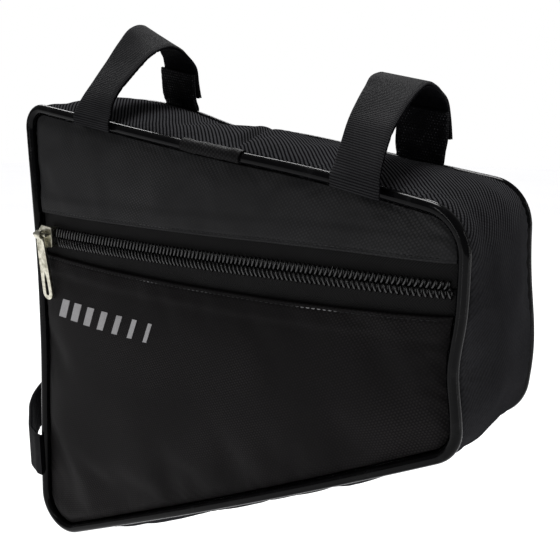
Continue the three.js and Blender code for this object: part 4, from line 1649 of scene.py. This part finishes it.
@dataclass
class Panels:
    """The puffed front and back cloths, with folded and stitched edges at the zip."""

    form: BagForm
    zip: Zip
    edge_drop: float = 0.8
    edge_reach: float = 2.6
    hem_roll: float = 0.75
    hem_proud: float = 0.5
    hem_width: float = 7.5
    hem_fade: tuple = (-1.5, 1.0)
    wave: float = 0.22
    wave_length: float = 48.0
    stitch_line: float = 1.3
    stitch_sink: float = 0.2
    stitch_width: float = 0.5
    pucker: float = 0.16
    pucker_pitch: float = 6.5
    pucker_reach: float = 7.0
    pucker_run: tuple = (0.75, 0.66)
    wobble: float = 0.7
    wobble_length: float = 24.0
    front_seed: int = 21
    back_seed: int = 41
    end_run: float = 18.0
    end_columns: int = 26
    end_crowding: float = 1.8
    middle_columns: int = 128
    hem_steps: tuple = (0, 0.12, 0.3, 0.55, 0.85, 1.2, 1.55, 1.9, 2.25, 2.7, 3.4, 4.4, 5.6, 7.0)
    edge_steps: tuple = (0, 0.2, 0.5, 0.9, 1.4, 2.0, 2.8, 3.8, 5.2, 7.0)
    row_pitch: float = 1.6
    cell: float = 4.2
    test: ClothTest = field(default_factory=ClothTest)

    def __post_init__(self) -> None:
        """Simulates the three cloths."""
        self.front_wrinkles = {side: self.wrinkle_front(side) for side in Side}
        self.back_wrinkles = self.wrinkle_back()

    def coarse(self, start: Callable, far: Callable) -> tuple:
        """Places a coarse grid between two edges and says which points the seams hold.

        Args:
            start: Gives the height of the first edge at an X.
            far: Gives the height of the other edge.

        Returns:
            X and Z of the points, and True where a seam holds one.
        """
        half = self.zip.panel_half
        x = np.linspace(-half, half, int(2 * half / self.cell))
        tall = float(np.abs(far(x) - start(x)).max())
        shares = np.linspace(0, 1, max(int(tall / self.cell), 6))
        z = lerp(start(x)[:, None], far(x)[:, None], shares[None])
        held = np.zeros(z.shape, bool)
        held[[0, -1], :] = True
        held[:, [0, -1]] = True
        return np.broadcast_to(x[:, None], z.shape), z, held

    def far_edge(self, side: Side) -> Callable:
        """Returns a function that gives a panel's edge away from the zip."""
        which = 1 if side is Side.ABOVE else 0
        return lambda x: self.form.height_range(x, self.form.panel_inset)[which]

    def wrinkle_front(self, side: Side) -> Wrinkles:
        """Simulates one front cloth.

        Args:
            side: Cloth above or below the zip.

        Returns:
            The moves of the cloth.
        """
        x, z, held = self.coarse(lambda at: self.zip.hem(at, side), self.far_edge(side))
        points = np.stack([x, self.form.front_skin(x, z) + self.drop(x, z), z], -1)
        return self.test.run(f"front_test_{side.name.lower()}", self.form.slump(points), held)

    def wrinkle_back(self) -> Wrinkles:
        """Simulates the back cloth.

        Returns:
            The moves of the cloth.
        """
        x, z, held = self.coarse(self.far_edge(Side.BELOW), self.far_edge(Side.ABOVE))
        points = np.stack([x, self.form.back_skin(x, z) - self.drop(x, z), z], -1)
        return self.test.run("back_test", self.form.slump(points), held)

    def front_face(self, side: Side, x: Array, z: Array, distance: Array, sunk: float = 0.0) -> Array:
        """Places points on a front cloth with all its relief.

        Args:
            side: Cloth above or below the zip.
            x: Places across.
            z: Places up.
            distance: Distance from the folded edge.
            sunk: Depth below the face.

        Returns:
            Points in mm in their final place.
        """
        start, far = self.zip.hem(x, side), self.far_edge(side)(x)
        share = np.clip((z - start) / (far - start), 0, 1)
        across = np.clip(x / (2 * self.zip.panel_half) + 0.5, 0, 1)
        plain = self.front_point(x, z, distance) + np.array([0.0, sunk, 0.0])
        return self.form.slump(plain) + self.front_wrinkles[side].read(across, share)

    def columns(self) -> Array:
        """Spaces the panel's columns across, closer together at the corners.

        Returns:
            The places in mm.
        """
        half = self.zip.panel_half
        ends = half - self.end_run * np.linspace(0, 1, self.end_columns) ** self.end_crowding
        middle = np.linspace(-half + self.end_run, half - self.end_run, self.middle_columns)
        return np.concatenate([-ends, middle[1:-1], ends[::-1]])

    def rows(self, length: float, hem: bool) -> Array:
        """Spaces the rows down a panel, close together at its edges.

        Args:
            length: Length of the panel in mm.
            hem: True if it starts at a folded edge.

        Returns:
            Shares of the length, 0 to 1.
        """
        start = np.array(self.hem_steps if hem else self.edge_steps) / length
        end = 1 - np.array(self.edge_steps[::-1]) / length
        both_ends = 2 * self.edge_steps[-1]
        count = max(int((1 - both_ends / length) * length / self.row_pitch), 6)
        middle = np.linspace(start[-1], end[0], count)
        return np.concatenate([start, middle[1:-1], end])

    def edge_distance(self, x: Array, z: Array) -> Array:
        """Measures roughly how far points lie from the piping's inner side.

        Args:
            x: Places across.
            z: Places up.

        Returns:
            The distances in mm.
        """
        low, high = self.form.height_range(x, self.form.panel_inset)
        side = self.zip.panel_half - np.abs(x)
        return np.minimum(np.minimum(z - low, high - z), side).clip(0, None)

    def drop(self, x: Array, z: Array) -> Array:
        """Returns how far the cloth turns in beside the piping."""
        return self.edge_drop * bell(self.edge_distance(x, z) / self.edge_reach)

    def hem_relief(self, d: Array) -> Array:
        """Shapes the folded edge, with its roll and its row of stitches.

        Args:
            d: Distances from the fold in mm.

        Returns:
            The heights in mm.
        """
        inside = np.clip(1 - d / self.hem_roll, 0, 1)
        roll = -self.hem_roll * (1 - np.sqrt(1 - inside ** 2))
        low, high = (self.hem_width + step for step in self.hem_fade)
        fold = self.hem_proud * (1 - smoothstep(d, low, high))
        stitch = -self.stitch_sink * bell((d - self.stitch_line) / self.stitch_width)
        return roll + fold + stitch

    def puckers(self, x: Array, z: Array, seed: int) -> Array:
        """Works out the small puckers that the seam pulls into the cloth.

        Args:
            x: Places across.
            z: Places up.
            seed: Start of the random draws.

        Returns:
            The heights in mm.
        """
        near = bell(self.edge_distance(x, z) / self.pucker_reach)
        wobble = self.wobble * ripples(x, z, seed, self.wobble_length)
        run = x * self.pucker_run[0] + z * self.pucker_run[1]
        small = np.sin(2 * math.pi * (run / self.pucker_pitch + wobble))
        broad = self.wave * ripples(x, z, seed + 1, self.wave_length)
        return self.pucker * near * small + broad * (1 - near)

    def front_point(self, x: Array, z: Array, hem_distance: Array) -> Array:
        """Returns points on the front face, before the soft distortion."""
        relief = self.hem_relief(hem_distance) + self.puckers(x, z, self.front_seed)
        return np.stack([x, self.form.front_skin(x, z) + self.drop(x, z) - relief, z], -1)

    def build_front(self, finishes: dict) -> None:
        """Builds and dresses the two front cloths.

        Args:
            finishes: The cloth on each side of the zip: one cloth, in a lighter copy above with painted
                light and a darker copy below with painted shade.
        """
        for side, node in ((Side.ABOVE, "front_panel_upper"), (Side.BELOW, "front_panel_lower")):
            columns = self.columns()
            low, high = self.form.height_range(columns, self.form.panel_inset)
            far = high if side is Side.ABOVE else low
            hem = self.zip.hem(columns, side)
            shares = self.rows(float(np.abs(far - hem).max()), hem=True)
            x = np.repeat(columns[:, None], len(shares), axis=1)
            z = lerp(hem[:, None], far[:, None], shares[None])
            distance = np.abs(z - hem[:, None])
            outer = self.front_face(side, x, z, distance)
            inner = self.front_face(side, x, z, distance, self.form.cloth)
            piece = Maker.sheet(f"{node}_cloth", outer, inner, np.stack([x, z], -1))
            dress(piece, finishes[side].make())
            settle(piece, BAG, "body_cloth", node)

    def build_back(self, finish: PlainCloth) -> None:
        """Builds and dresses the back cloth.

        Args:
            finish: The cloth.
        """
        columns = self.columns()
        low, high = self.form.height_range(columns, self.form.panel_inset)
        shares = self.rows(float((high - low).max()), hem=False)
        x = np.repeat(columns[:, None], len(shares), axis=1)
        z = lerp(low[:, None], high[:, None], shares[None])
        y = self.form.back_skin(x, z) - self.drop(x, z) + self.puckers(x, z, self.back_seed)
        moved = self.back_wrinkles.read(np.clip(x / (2 * self.zip.panel_half) + 0.5, 0, 1), shares[None])
        outer = self.form.slump(np.stack([x, y, z], -1)) + moved
        inner = self.form.slump(np.stack([x, y - self.form.cloth, z], -1)) + moved
        piece = Maker.sheet("back_panel_cloth", outer, inner, np.stack([x, z], -1))
        dress(piece, finish.make())
        settle(piece, BAG, "body_cloth", "back_panel")


@dataclass
class Stitching:
    """Rows of sewing stitches."""

    length: float = 1.5
    pitch: float = 2.1
    radius: float = 0.19
    rings: int = 7
    sides: int = 6
    arch: float = 1.6
    dip: float = 0.9
    thin: float = 0.55
    swell: float = 0.45
    end_gap: float = 3.0
    samples: int = 240

    def stitch(self, start: Array, end: Array, out: Array) -> tuple:
        """Makes one stitch, a thread that dips into the cloth at both ends.

        Args:
            start: Where the stitch comes out.
            end: Where it goes in.
            out: Outward direction.

        Returns:
            Its points and faces.
        """
        shares = np.linspace(0, 1, self.rings)
        crown = np.sin(math.pi * shares)
        path = lerp(start[None], end[None], shares[:, None])
        path = path + out[None] * (self.radius * (self.arch * crown - self.dip))[:, None]
        rings = Maker.tube_rings(path, self.radius * (self.thin + self.swell * crown), self.sides)
        return rings.reshape(-1, 3), Maker.ring_faces(len(rings), self.sides, closed=False)

    def run(self, path: Array, out: Array) -> list:
        """Sews along a path.

        Args:
            path: Points on the cloth in mm.
            out: Outward direction at each point.

        Returns:
            The stitches, as points and faces.
        """
        steps = np.linalg.norm(np.diff(path, axis=0), axis=1)
        length = np.concatenate([[0.0], np.cumsum(steps)])
        stitches = []
        for start in np.arange(0.5, length[-1] - self.length, self.pitch):
            ends = [np.array([np.interp(at, length, path[:, k]) for k in range(3)])
                    for at in (start, start + self.length)]
            middle = start + self.length / 2
            normal = np.array([np.interp(middle, length, out[:, k]) for k in range(3)])
            stitches.append(self.stitch(ends[0], ends[1], normal / np.linalg.norm(normal)))
        return stitches

    def build_hems(self, panels: Panels, finishes: dict) -> None:
        """Sews the folded edges above and below the zip.

        Args:
            panels: The panels that carry the hems.
            finishes: The thread of the hem on each side of the zip.
        """
        zipper = panels.zip
        x = np.linspace(self.end_gap - zipper.panel_half, zipper.panel_half - self.end_gap, self.samples)
        for side in Side:
            z = zipper.hem(x, side) + side.value * panels.stitch_line
            path = panels.front_face(side, x, z, np.full_like(x, panels.stitch_line))
            parts = self.run(path, np.broadcast_to([0.0, -1.0, 0.0], path.shape))
            piece = Maker.many(f"hem_stitches_{side.name.lower()}", parts)
            dress(piece, finishes[side].make())
            settle(piece, BAG, "body_cloth")


@dataclass
class StrapLoop:
    """One loop: a long strap that laps over a short tab, each of webbing backed with pile."""

    form: BagForm
    name: str
    table: tuple
    drift: float
    free_end: float
    back_lift: float = 0.0
    front_yaw: float = 0.0
    front_lift: float = 0.0
    tab_splay: float = 0.0
    width: float = 20.0
    thickness: float = 2.0
    loop_height: float = 36.0
    lap: float = 11.0
    tuck: float = 3.6
    ramp: float = 0.1
    step: float = 0.7
    columns: int = 23
    pile: float = 0.85
    pile_gap: float = 0.06
    pile_fuzz: float = 0.1
    edge_from: float = 0.955
    edge_least: float = 0.12
    search_step: float = 0.005
    fine_steps: int = 400
    place: Callable = lambda points: points

    def __post_init__(self) -> None:
        """Works out the curves of the loop."""
        foot = self.form.piping_radius + self.form.gap + self.thickness
        front = self.form.front_y - foot - math.sin(math.radians(self.front_yaw)) * self.width / 2
        back = self.form.back_y + foot
        rows = [(front, height, self.front_yaw, 0.0)
                for height in (self.front_lift - self.tuck, self.front_lift)]
        rows += [(self.form.front_y + depth * self.form.depth, height * self.loop_height, yaw, tilt)
                 for depth, height, yaw, tilt in self.table]
        rows += [(back, self.back_lift, 0.0, 0.0), (back, self.back_lift - self.tuck, 0.0, 0.0)]
        last = len(rows) - 1
        centre = []
        for y, z, _, _ in rows:
            share = min(max((y - self.form.front_y) / self.form.depth, 0.0), 1.0)
            centre.append((self.drift * share, y, z))
        self.centre = Track(centre)
        self.yaw = Track([(i / last, row[2], 0.0) for i, row in enumerate(rows)])
        self.tilt = Track([(i / last, row[3], 0.0) for i, row in enumerate(rows)])
        self.long_end = self._share_at(self.free_end)
        self.tab_end = self._share_at(self.free_end + self.lap)
        self.lift = self.thickness + self.form.gap

    def _share_at(self, height: float) -> float:
        """Finds where the back half of the loop comes down to a height.

        Args:
            height: The height in mm.

        Returns:
            The share of the curve.
        """
        share = 1.0
        while share > 0.5 and self.centre.at(share)[2] < height:
            share -= self.search_step
        return share

    def lift_at(self, share: float) -> float:
        """Returns how far the long strap stands off to lap over the tab."""
        first, last = self.tab_end - self.ramp, self.tab_end - self.search_step
        return self.lift * float(smoothstep(np.array(share), first, last))

    def stations(self, first: float, last: float) -> Array:
        """Spaces places along the curve evenly in mm.

        Args:
            first: Share at the start.
            last: Share at the end.

        Returns:
            The shares.
        """
        fine = np.linspace(first, last, self.fine_steps)
        points = np.array([self.centre.at(s) for s in fine])
        length = np.concatenate([[0.0], np.cumsum(np.linalg.norm(np.diff(points, axis=0), axis=1))])
        count = int(length[-1] / self.step)
        return np.interp(np.linspace(0, length[-1], count), length, fine)

    def grid(self, shares: Array, sunk: float, lifted: bool) -> Array:
        """Places the strap's grid.

        Args:
            shares: Places along the curve.
            sunk: Depth below the outer face.
            lifted: True for the long strap, which laps over the tab.

        Returns:
            Points in mm, in the loop's own frame.
        """
        reach = np.linspace(-1, 1, self.columns)
        rows = []
        for share in shares:
            centre = self.centre.at(share)
            along = self.centre.at(min(share + 1e-4, 1.0)) - self.centre.at(max(share - 1e-4, 0.0))
            turn = math.radians(self.yaw.at(share)[1])
            drop = math.radians(self.tilt.at(share)[1])
            across = np.array([math.cos(turn) * math.cos(drop), -math.sin(turn), -math.sin(drop)])
            across = across / np.linalg.norm(across)
            out = np.cross(across, along)
            out = out / np.linalg.norm(out)
            down = (share - self.tab_end) / (1 - self.tab_end)
            lift, aside = (self.lift_at(share), 0.0) if lifted else (0.0, self.tab_splay * down)
            rows.append(centre + across * (reach * self.width / 2 + aside)[:, None] + out * (lift - sunk))
        return np.array(rows)

    def layer(self, part: str, shares: Array, lifted: bool, which: Layer) -> bpy.types.Object:
        """Builds one layer of a strap with rounded selvedges.

        Args:
            part: Name of the piece.
            shares: Places along the curve.
            lifted: True for the long strap.
            which: Webbing outside or pile inside.

        Returns:
            The layer.
        """
        split = self.thickness - self.pile
        top, bottom = (0.0, split) if which is Layer.WEBBING else (split + self.pile_gap, self.thickness)
        outer = self.grid(shares, top, lifted)
        inner = self.grid(shares, bottom, lifted)
        middle = (outer + inner) / 2
        reach = np.abs(np.linspace(-1, 1, self.columns))
        past = np.clip((reach - self.edge_from) / (1 - self.edge_from), 0, 1)
        selvedge = np.sqrt(np.clip(1 - past ** 2, self.edge_least, 1))
        narrow = 1.0 if which is Layer.WEBBING else self.edge_from
        axis = middle[:, self.columns // 2][:, None]
        outer = middle + (outer - middle) * selvedge[None, :, None]
        inner = middle + (inner - middle) * selvedge[None, :, None]
        outer = axis + (outer - axis) * narrow
        inner = axis + (inner - axis) * narrow
        steps = np.linalg.norm(np.diff(middle[:, self.columns // 2], axis=0), axis=1)
        length = np.concatenate([[0.0], np.cumsum(steps)])
        u = np.repeat(length[:, None], self.columns, axis=1)
        v = np.broadcast_to(np.linspace(-1, 1, self.columns)[None] * self.width / 2, u.shape)
        if which is Layer.PILE:
            fuzz = self.pile_fuzz * ripples(u * 3, v * 3, 31, 9.0)
            inner = inner + unit_rows(inner - outer) * fuzz[..., None]
        return Maker.sheet(part, self.place(outer), self.place(inner), np.stack([u, v], -1))

    def build(self, webbing: Webbing, pile: LoopPile, hooks: HookTape) -> None:
        """Builds and dresses the long strap and the tab.

        Args:
            webbing: The woven outside.
            pile: The inside of the long strap.
            hooks: The inside of the tab.
        """
        cloth, fuzz, hook = webbing.make(), pile.make(), hooks.make()
        parts = (("long", 0.0, self.long_end, True, fuzz), ("tab", self.tab_end, 1.0, False, hook))
        for part, first, last, lifted, backing in parts:
            shares = self.stations(first, last)
            node = f"{self.name}_{part}"
            outside = self.layer(f"{node}_webbing", shares, lifted, Layer.WEBBING)
            dress(outside, cloth)
            settle(outside, BAG, "webbing", node)
            inside = self.layer(f"{node}_lining", shares, lifted, Layer.PILE)
            dress(inside, backing)
            settle(inside, BAG, "webbing", node)


@dataclass
class Loops:
    """The three strap loops: two for the top tube and one for the seat tube."""

    form: BagForm
    inset_left: float = 45.25
    inset_right: float = 37.25
    top_drift: float = -7.0
    top_tab_splay: float = -3.2
    side_drift: float = 22.0
    side_below_corner: float = 162.0
    left_free_end: float = 9.0
    right_free_end: float = 13.0
    right_front_yaw: float = 10.0
    side_free_end: float = 14.0
    left_rows: tuple = (
        (-0.05, 0.08, 2, 0), (-0.01, 0.20, 8, 0), (0.10, 0.38, 12, 2), (0.26, 0.59, 10, 5),
        (0.41, 0.78, 7, 10), (0.56, 0.92, 3, 18), (0.73, 0.97, 0, 20), (0.88, 0.87, 0, 14),
        (0.97, 0.67, 0, 6), (1.00, 0.42, 0, 0), (1.03, 0.24, 0, 0))
    right_rows: tuple = (
        (-0.08, 0.16, 16, 0), (-0.02, 0.34, 18, 0), (0.07, 0.52, 17, 0), (0.21, 0.68, 13, 0),
        (0.36, 0.82, 8, 0), (0.50, 0.92, 0, 1), (0.66, 0.95, 0, 2), (0.82, 0.89, -4, 2),
        (0.94, 0.75, -8, 1), (1.01, 0.56, -12, 0), (1.04, 0.38, -12, 0), (1.05, 0.24, -6, 0))
    side_rows: tuple = (
        (-0.05, 0.10, 0, 0), (0.00, 0.28, 0, 0), (0.12, 0.52, 0, -2), (0.24, 0.74, 0, -3),
        (0.37, 0.88, 0, -3), (0.53, 0.95, 0, -3), (0.71, 0.90, 0, -3), (0.88, 0.76, 0, -3),
        (1.00, 0.54, 0, -2), (1.06, 0.30, 0, 0))

    def on_top(self, shift: float) -> Callable:
        """Prepares the move of a loop on to the top line.

        Args:
            shift: X of the loop's middle.

        Returns:
            The function.
        """
        def place(points: Array) -> Array:
            """Shears the loop by the top's slope and moves it there."""
            x, y, z = np.moveaxis(points, -1, 0)
            return np.stack([x + shift, y, z - self.form.slope * x + self.form.top_line(shift)], -1)
        return place

    def on_side(self, points: Array) -> Array:
        """Turns a loop on to the left edge.

        Args:
            points: Points of the loop in its own frame.

        Returns:
            The moved points.
        """
        x, y, z = np.moveaxis(points, -1, 0)
        edge_z = self.form.top_left_z - self.side_below_corner
        return np.stack([-z - self.form.half - self.form.lean_at(edge_z), y, x + edge_z], -1)

    def build(self, webbing: Webbing, pile: LoopPile, hooks: HookTape) -> None:
        """Builds the three loops.

        Args:
            webbing: The woven outside.
            pile: The inside of the long straps.
            hooks: The inside of the tabs.
        """
        form = self.form
        left_x, right_x = self.inset_left - form.half, form.half - self.inset_right
        top = {"back_lift": form.back_rise, "tab_splay": self.top_tab_splay}
        left = StrapLoop(form, "strap_left", self.left_rows, self.top_drift, self.left_free_end,
                         front_lift=form.hump_at(left_x), place=self.on_top(left_x), **top)
        right = StrapLoop(form, "strap_right", self.right_rows, self.top_drift, self.right_free_end,
                          front_yaw=self.right_front_yaw, front_lift=form.hump_at(right_x),
                          place=self.on_top(right_x), **top)
        side = StrapLoop(form, "strap_side", self.side_rows, self.side_drift, self.side_free_end,
                         place=self.on_side)
        for loop in (left, right, side):
            loop.build(webbing, pile, hooks)


@dataclass
class Metalwork:
    """The zip's slider and its pull."""

    bevel: float = 0.22
    bevel_from_deg: float = 38.0

    def polish(self, node: str, piece_name: str, body: str, finish: bpy.types.Material) -> None:
        """Makes a finer copy of a metal solid with rounded edges.

        Args:
            node: The solid.
            piece_name: Name of the copy.
            body: Body that it moves with.
            finish: Its material.
        """
        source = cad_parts[node]
        piece = source.copy()
        piece.data = source.data.copy()
        piece.name = piece_name
        for key in list(piece.keys()):
            del piece[key]
        piece.parent = None
        bpy.context.scene.collection.objects.link(piece)
        self._soften(piece)
        dress(piece, finish)
        settle(piece, body, "zip_metal", node)

    def _soften(self, piece: bpy.types.Object) -> None:
        """Welds and bevels the edges of a metal piece.

        Args:
            piece: The piece.
        """
        bpy.context.view_layer.objects.active = piece
        for settings in (
            {"type": "WELD", "merge_threshold": 1e-6},
            {"type": "BEVEL", "width": self.bevel * MM, "segments": 3, "limit_method": "ANGLE",
             "angle_limit": math.radians(self.bevel_from_deg), "harden_normals": False},
        ):
            modifier = piece.modifiers.new("soften", settings["type"])
            for key, value in settings.items():
                if key != "type":
                    setattr(modifier, key, value)
            bpy.ops.object.modifier_apply(modifier=modifier.name)
        piece.data.shade_smooth()
        piece.data.set_sharp_from_angle(angle=math.radians(SHARP_DEG))

    def build(self, finish: WornNickel) -> None:
        """Builds and dresses the slider and the pull.

        Args:
            finish: The metal.
        """
        material = finish.make()
        self.polish("zip_slider", "slider_body", BAG, material)
        self.polish("zip_pull", "pull_tag", PULL, material)


@dataclass
class SlantedBars:
    """Plain slanted bars of reflective film on the lower front."""

    panels: Panels
    count: int = 7
    left: float = -83.0
    below_hem: float = 17.5
    pitch: float = 9.0
    bar: float = 5.4
    height: float = 8.0
    slant: float = 0.42
    narrowing: float = 0.62
    bar_columns: int = 7
    bar_rows: int = 13
    film: float = 0.18

    def build(self, finish: ReflectiveFilm) -> None:
        """Builds and dresses the bars.

        Args:
            finish: The film.
        """
        zipper = self.panels.zip
        material = finish.make()
        for number in range(self.count):
            shrink = number / (self.count - 1)
            width = self.bar * (1 - self.narrowing * shrink)
            start = self.left + self.pitch * number
            across = np.linspace(0, width, self.bar_columns)[:, None]
            up = np.linspace(0, self.height, self.bar_rows)[None]
            x = start + across + self.slant * up
            base = zipper.hem(start, Side.BELOW) - self.below_hem - self.height
            z = base + np.broadcast_to(up, x.shape)
            distance = np.abs(z - zipper.hem(x, Side.BELOW))
            outer = self.panels.front_face(Side.BELOW, x, z, distance, -self.film)
            inner = self.panels.front_face(Side.BELOW, x, z, distance, self.film)
            piece = Maker.sheet(f"slanted_bar_{number + 1}", outer, inner, np.stack([x, z], -1))
            dress(piece, material)
            settle(piece, BAG, "body_cloth")


@dataclass
class Studio:
    """Floor, lights, sky and camera."""

    azimuth_deg: float = 35.97
    elevation_deg: float = 11.44
    eye: tuple = (189.8, -244.1, -9.4)
    lens: float = 50.4
    sensor: float = 36.0
    clip_start: float = 0.01
    floor_below: float = 90.0
    floor_size: float = 9.0
    sun: float = 3.25
    sun_spread_deg: float = 24.0
    sun_turn_deg: tuple = (-14.0, -8.0)
    fill: float = 0.2
    aim: tuple = (0.0, 0.0, -0.09)
    lamps: tuple = (
        ("key_front", (-0.1, -1.45, 0.5), (0.07, 1.2), 3.4),
        ("back_softbox", (-0.75, 0.95, 0.85), (1.4, 0.22), 13.0),
        ("rim_right", (1.2, 0.6, 0.1), (0.03, 1.2), 3.0),
        ("low_front", (-0.05, -0.7, -0.2), (0.02, 0.16), 0.12),
        ("low_right", (0.72, 0.0, -0.2), (0.02, 0.16), 0.12),
    )

    def build_floor(self, finish: PaleFloor) -> None:
        """Lays the pale floor.

        Args:
            finish: The board.
        """
        low = CAD_BOX[0].z / MM - self.floor_below
        half = self.floor_size / MM / 2
        points = np.array([(-half, -half, low), (half, -half, low), (half, half, low), (-half, half, low)])
        floor = Maker.mesh("floor", points, [(0, 1, 2, 3)])
        if floor.data.polygons[0].normal.z < 0:
            floor.data.flip_normals()
        dress(floor, finish.make())

    def light(self, name: str, place: tuple, size: tuple, power: float) -> None:
        """Hangs one soft light that faces the bag.

        Args:
            name: Name of the light.
            place: Where it hangs, in metres.
            size: Its width and height in metres.
            power: Its power in watts.
        """
        data = bpy.data.lights.new(name, "AREA")
        data.shape = "RECTANGLE"
        data.size, data.size_y = size
        data.energy = power
        made = bpy.data.objects.new(name, data)
        made.location = place
        aim = Vector(self.aim) - made.location
        made.rotation_mode = "QUATERNION"
        made.rotation_quaternion = aim.to_track_quat("-Z", "Y")
        bpy.context.scene.collection.objects.link(made)

    def build_lights(self) -> None:
        """Hangs the lights and sets a pale backdrop that lights the bag only a little."""
        sun = bpy.data.lights.new("sky_panel", "SUN")
        sun.energy = self.sun
        sun.angle = math.radians(self.sun_spread_deg)
        made = bpy.data.objects.new("sky_panel", sun)
        made.rotation_euler = (*(math.radians(turn) for turn in self.sun_turn_deg), 0.0)
        bpy.context.scene.collection.objects.link(made)
        for name, place, size, power in self.lamps:
            self.light(name, place, size, power)
        world = bpy.data.worlds.new("studio")
        world.use_nodes = True
        nodes = world.node_tree.nodes
        seen = nodes.new("ShaderNodeLightPath").outputs["Is Camera Ray"]
        strength = nodes.new("ShaderNodeMix")
        strength.inputs[2].default_value = self.fill
        strength.inputs[3].default_value = 1.0
        world.node_tree.links.new(seen, strength.inputs[0])
        world.node_tree.links.new(strength.outputs[0], nodes["Background"].inputs[1])
        nodes["Background"].inputs[0].default_value = (1.0, 1.0, 1.0, 1.0)
        bpy.context.scene.world = world
        bpy.context.scene.view_settings.view_transform = "Standard"

    def build_camera(self) -> None:
        """Sets the camera at the photograph's angle."""
        data = bpy.data.cameras.new("camera")
        data.lens = self.lens
        data.sensor_width = self.sensor
        data.clip_start = self.clip_start
        camera = bpy.data.objects.new("camera", data)
        a, e = math.radians(self.azimuth_deg), math.radians(self.elevation_deg)
        back = Vector((math.sin(a) * math.cos(e), -math.cos(a) * math.cos(e), math.sin(e)))
        camera.location = Vector(self.eye) * MM
        camera.rotation_mode = "QUATERNION"
        camera.rotation_quaternion = (-back).to_track_quat("-Z", "Y")
        bpy.context.scene.collection.objects.link(camera)
        bpy.context.scene.camera = camera


def main() -> None:
    """Builds every piece in order."""
    logging.basicConfig(level=logging.INFO, format="%(message)s")
    form = BagForm()
    zipper = Zip(form)
    panels = Panels(form, zipper)
    studio = Studio()
    studio.build_camera()
    Gusset(form).build(RibbedCloth("ribbed_cloth"))
    # The two front cloths are copies of one cloth: the upper is painted lighter and the lower darker, as
    # painted light and painted shade.
    panels.build_front({
        Side.ABOVE: PlainCloth("upper_cloth_painted_lighter", base=(0.0152, 0.0152, 0.0158), crest=(0.0385, 0.0385, 0.0395)),
        Side.BELOW: PlainCloth("lower_cloth_painted_darker", base=(0.0039, 0.0035, 0.0037), crest=(0.0162, 0.0147, 0.0152)),
    })
    panels.build_back(PlainCloth("back_cloth"))
    piping = Piping(form)
    piping.build(GlossPiping())
    piping.build_sleeve(PlainCloth("sleeve_cloth"))
    zipper.build_tapes(ZipTape())
    zipper.build_coils(CoilNylon())
    Metalwork().build(WornNickel())
    # The lower hem's thread carries bright painted highlights in patches; the upper thread's painted
    # highlights are faint.
    Stitching().build_hems(panels, {
        Side.ABOVE: Thread("upper_thread", crest=(0.05, 0.05, 0.052)),
        Side.BELOW: Thread("lower_thread", patch=26.0),
    })
    Loops(form).build(Webbing(), LoopPile(), HookTape())
    SlantedBars(panels).build(ReflectiveFilm())
    studio.build_floor(PaleFloor())
    studio.build_lights()


if __name__ == "__main__":
    main()
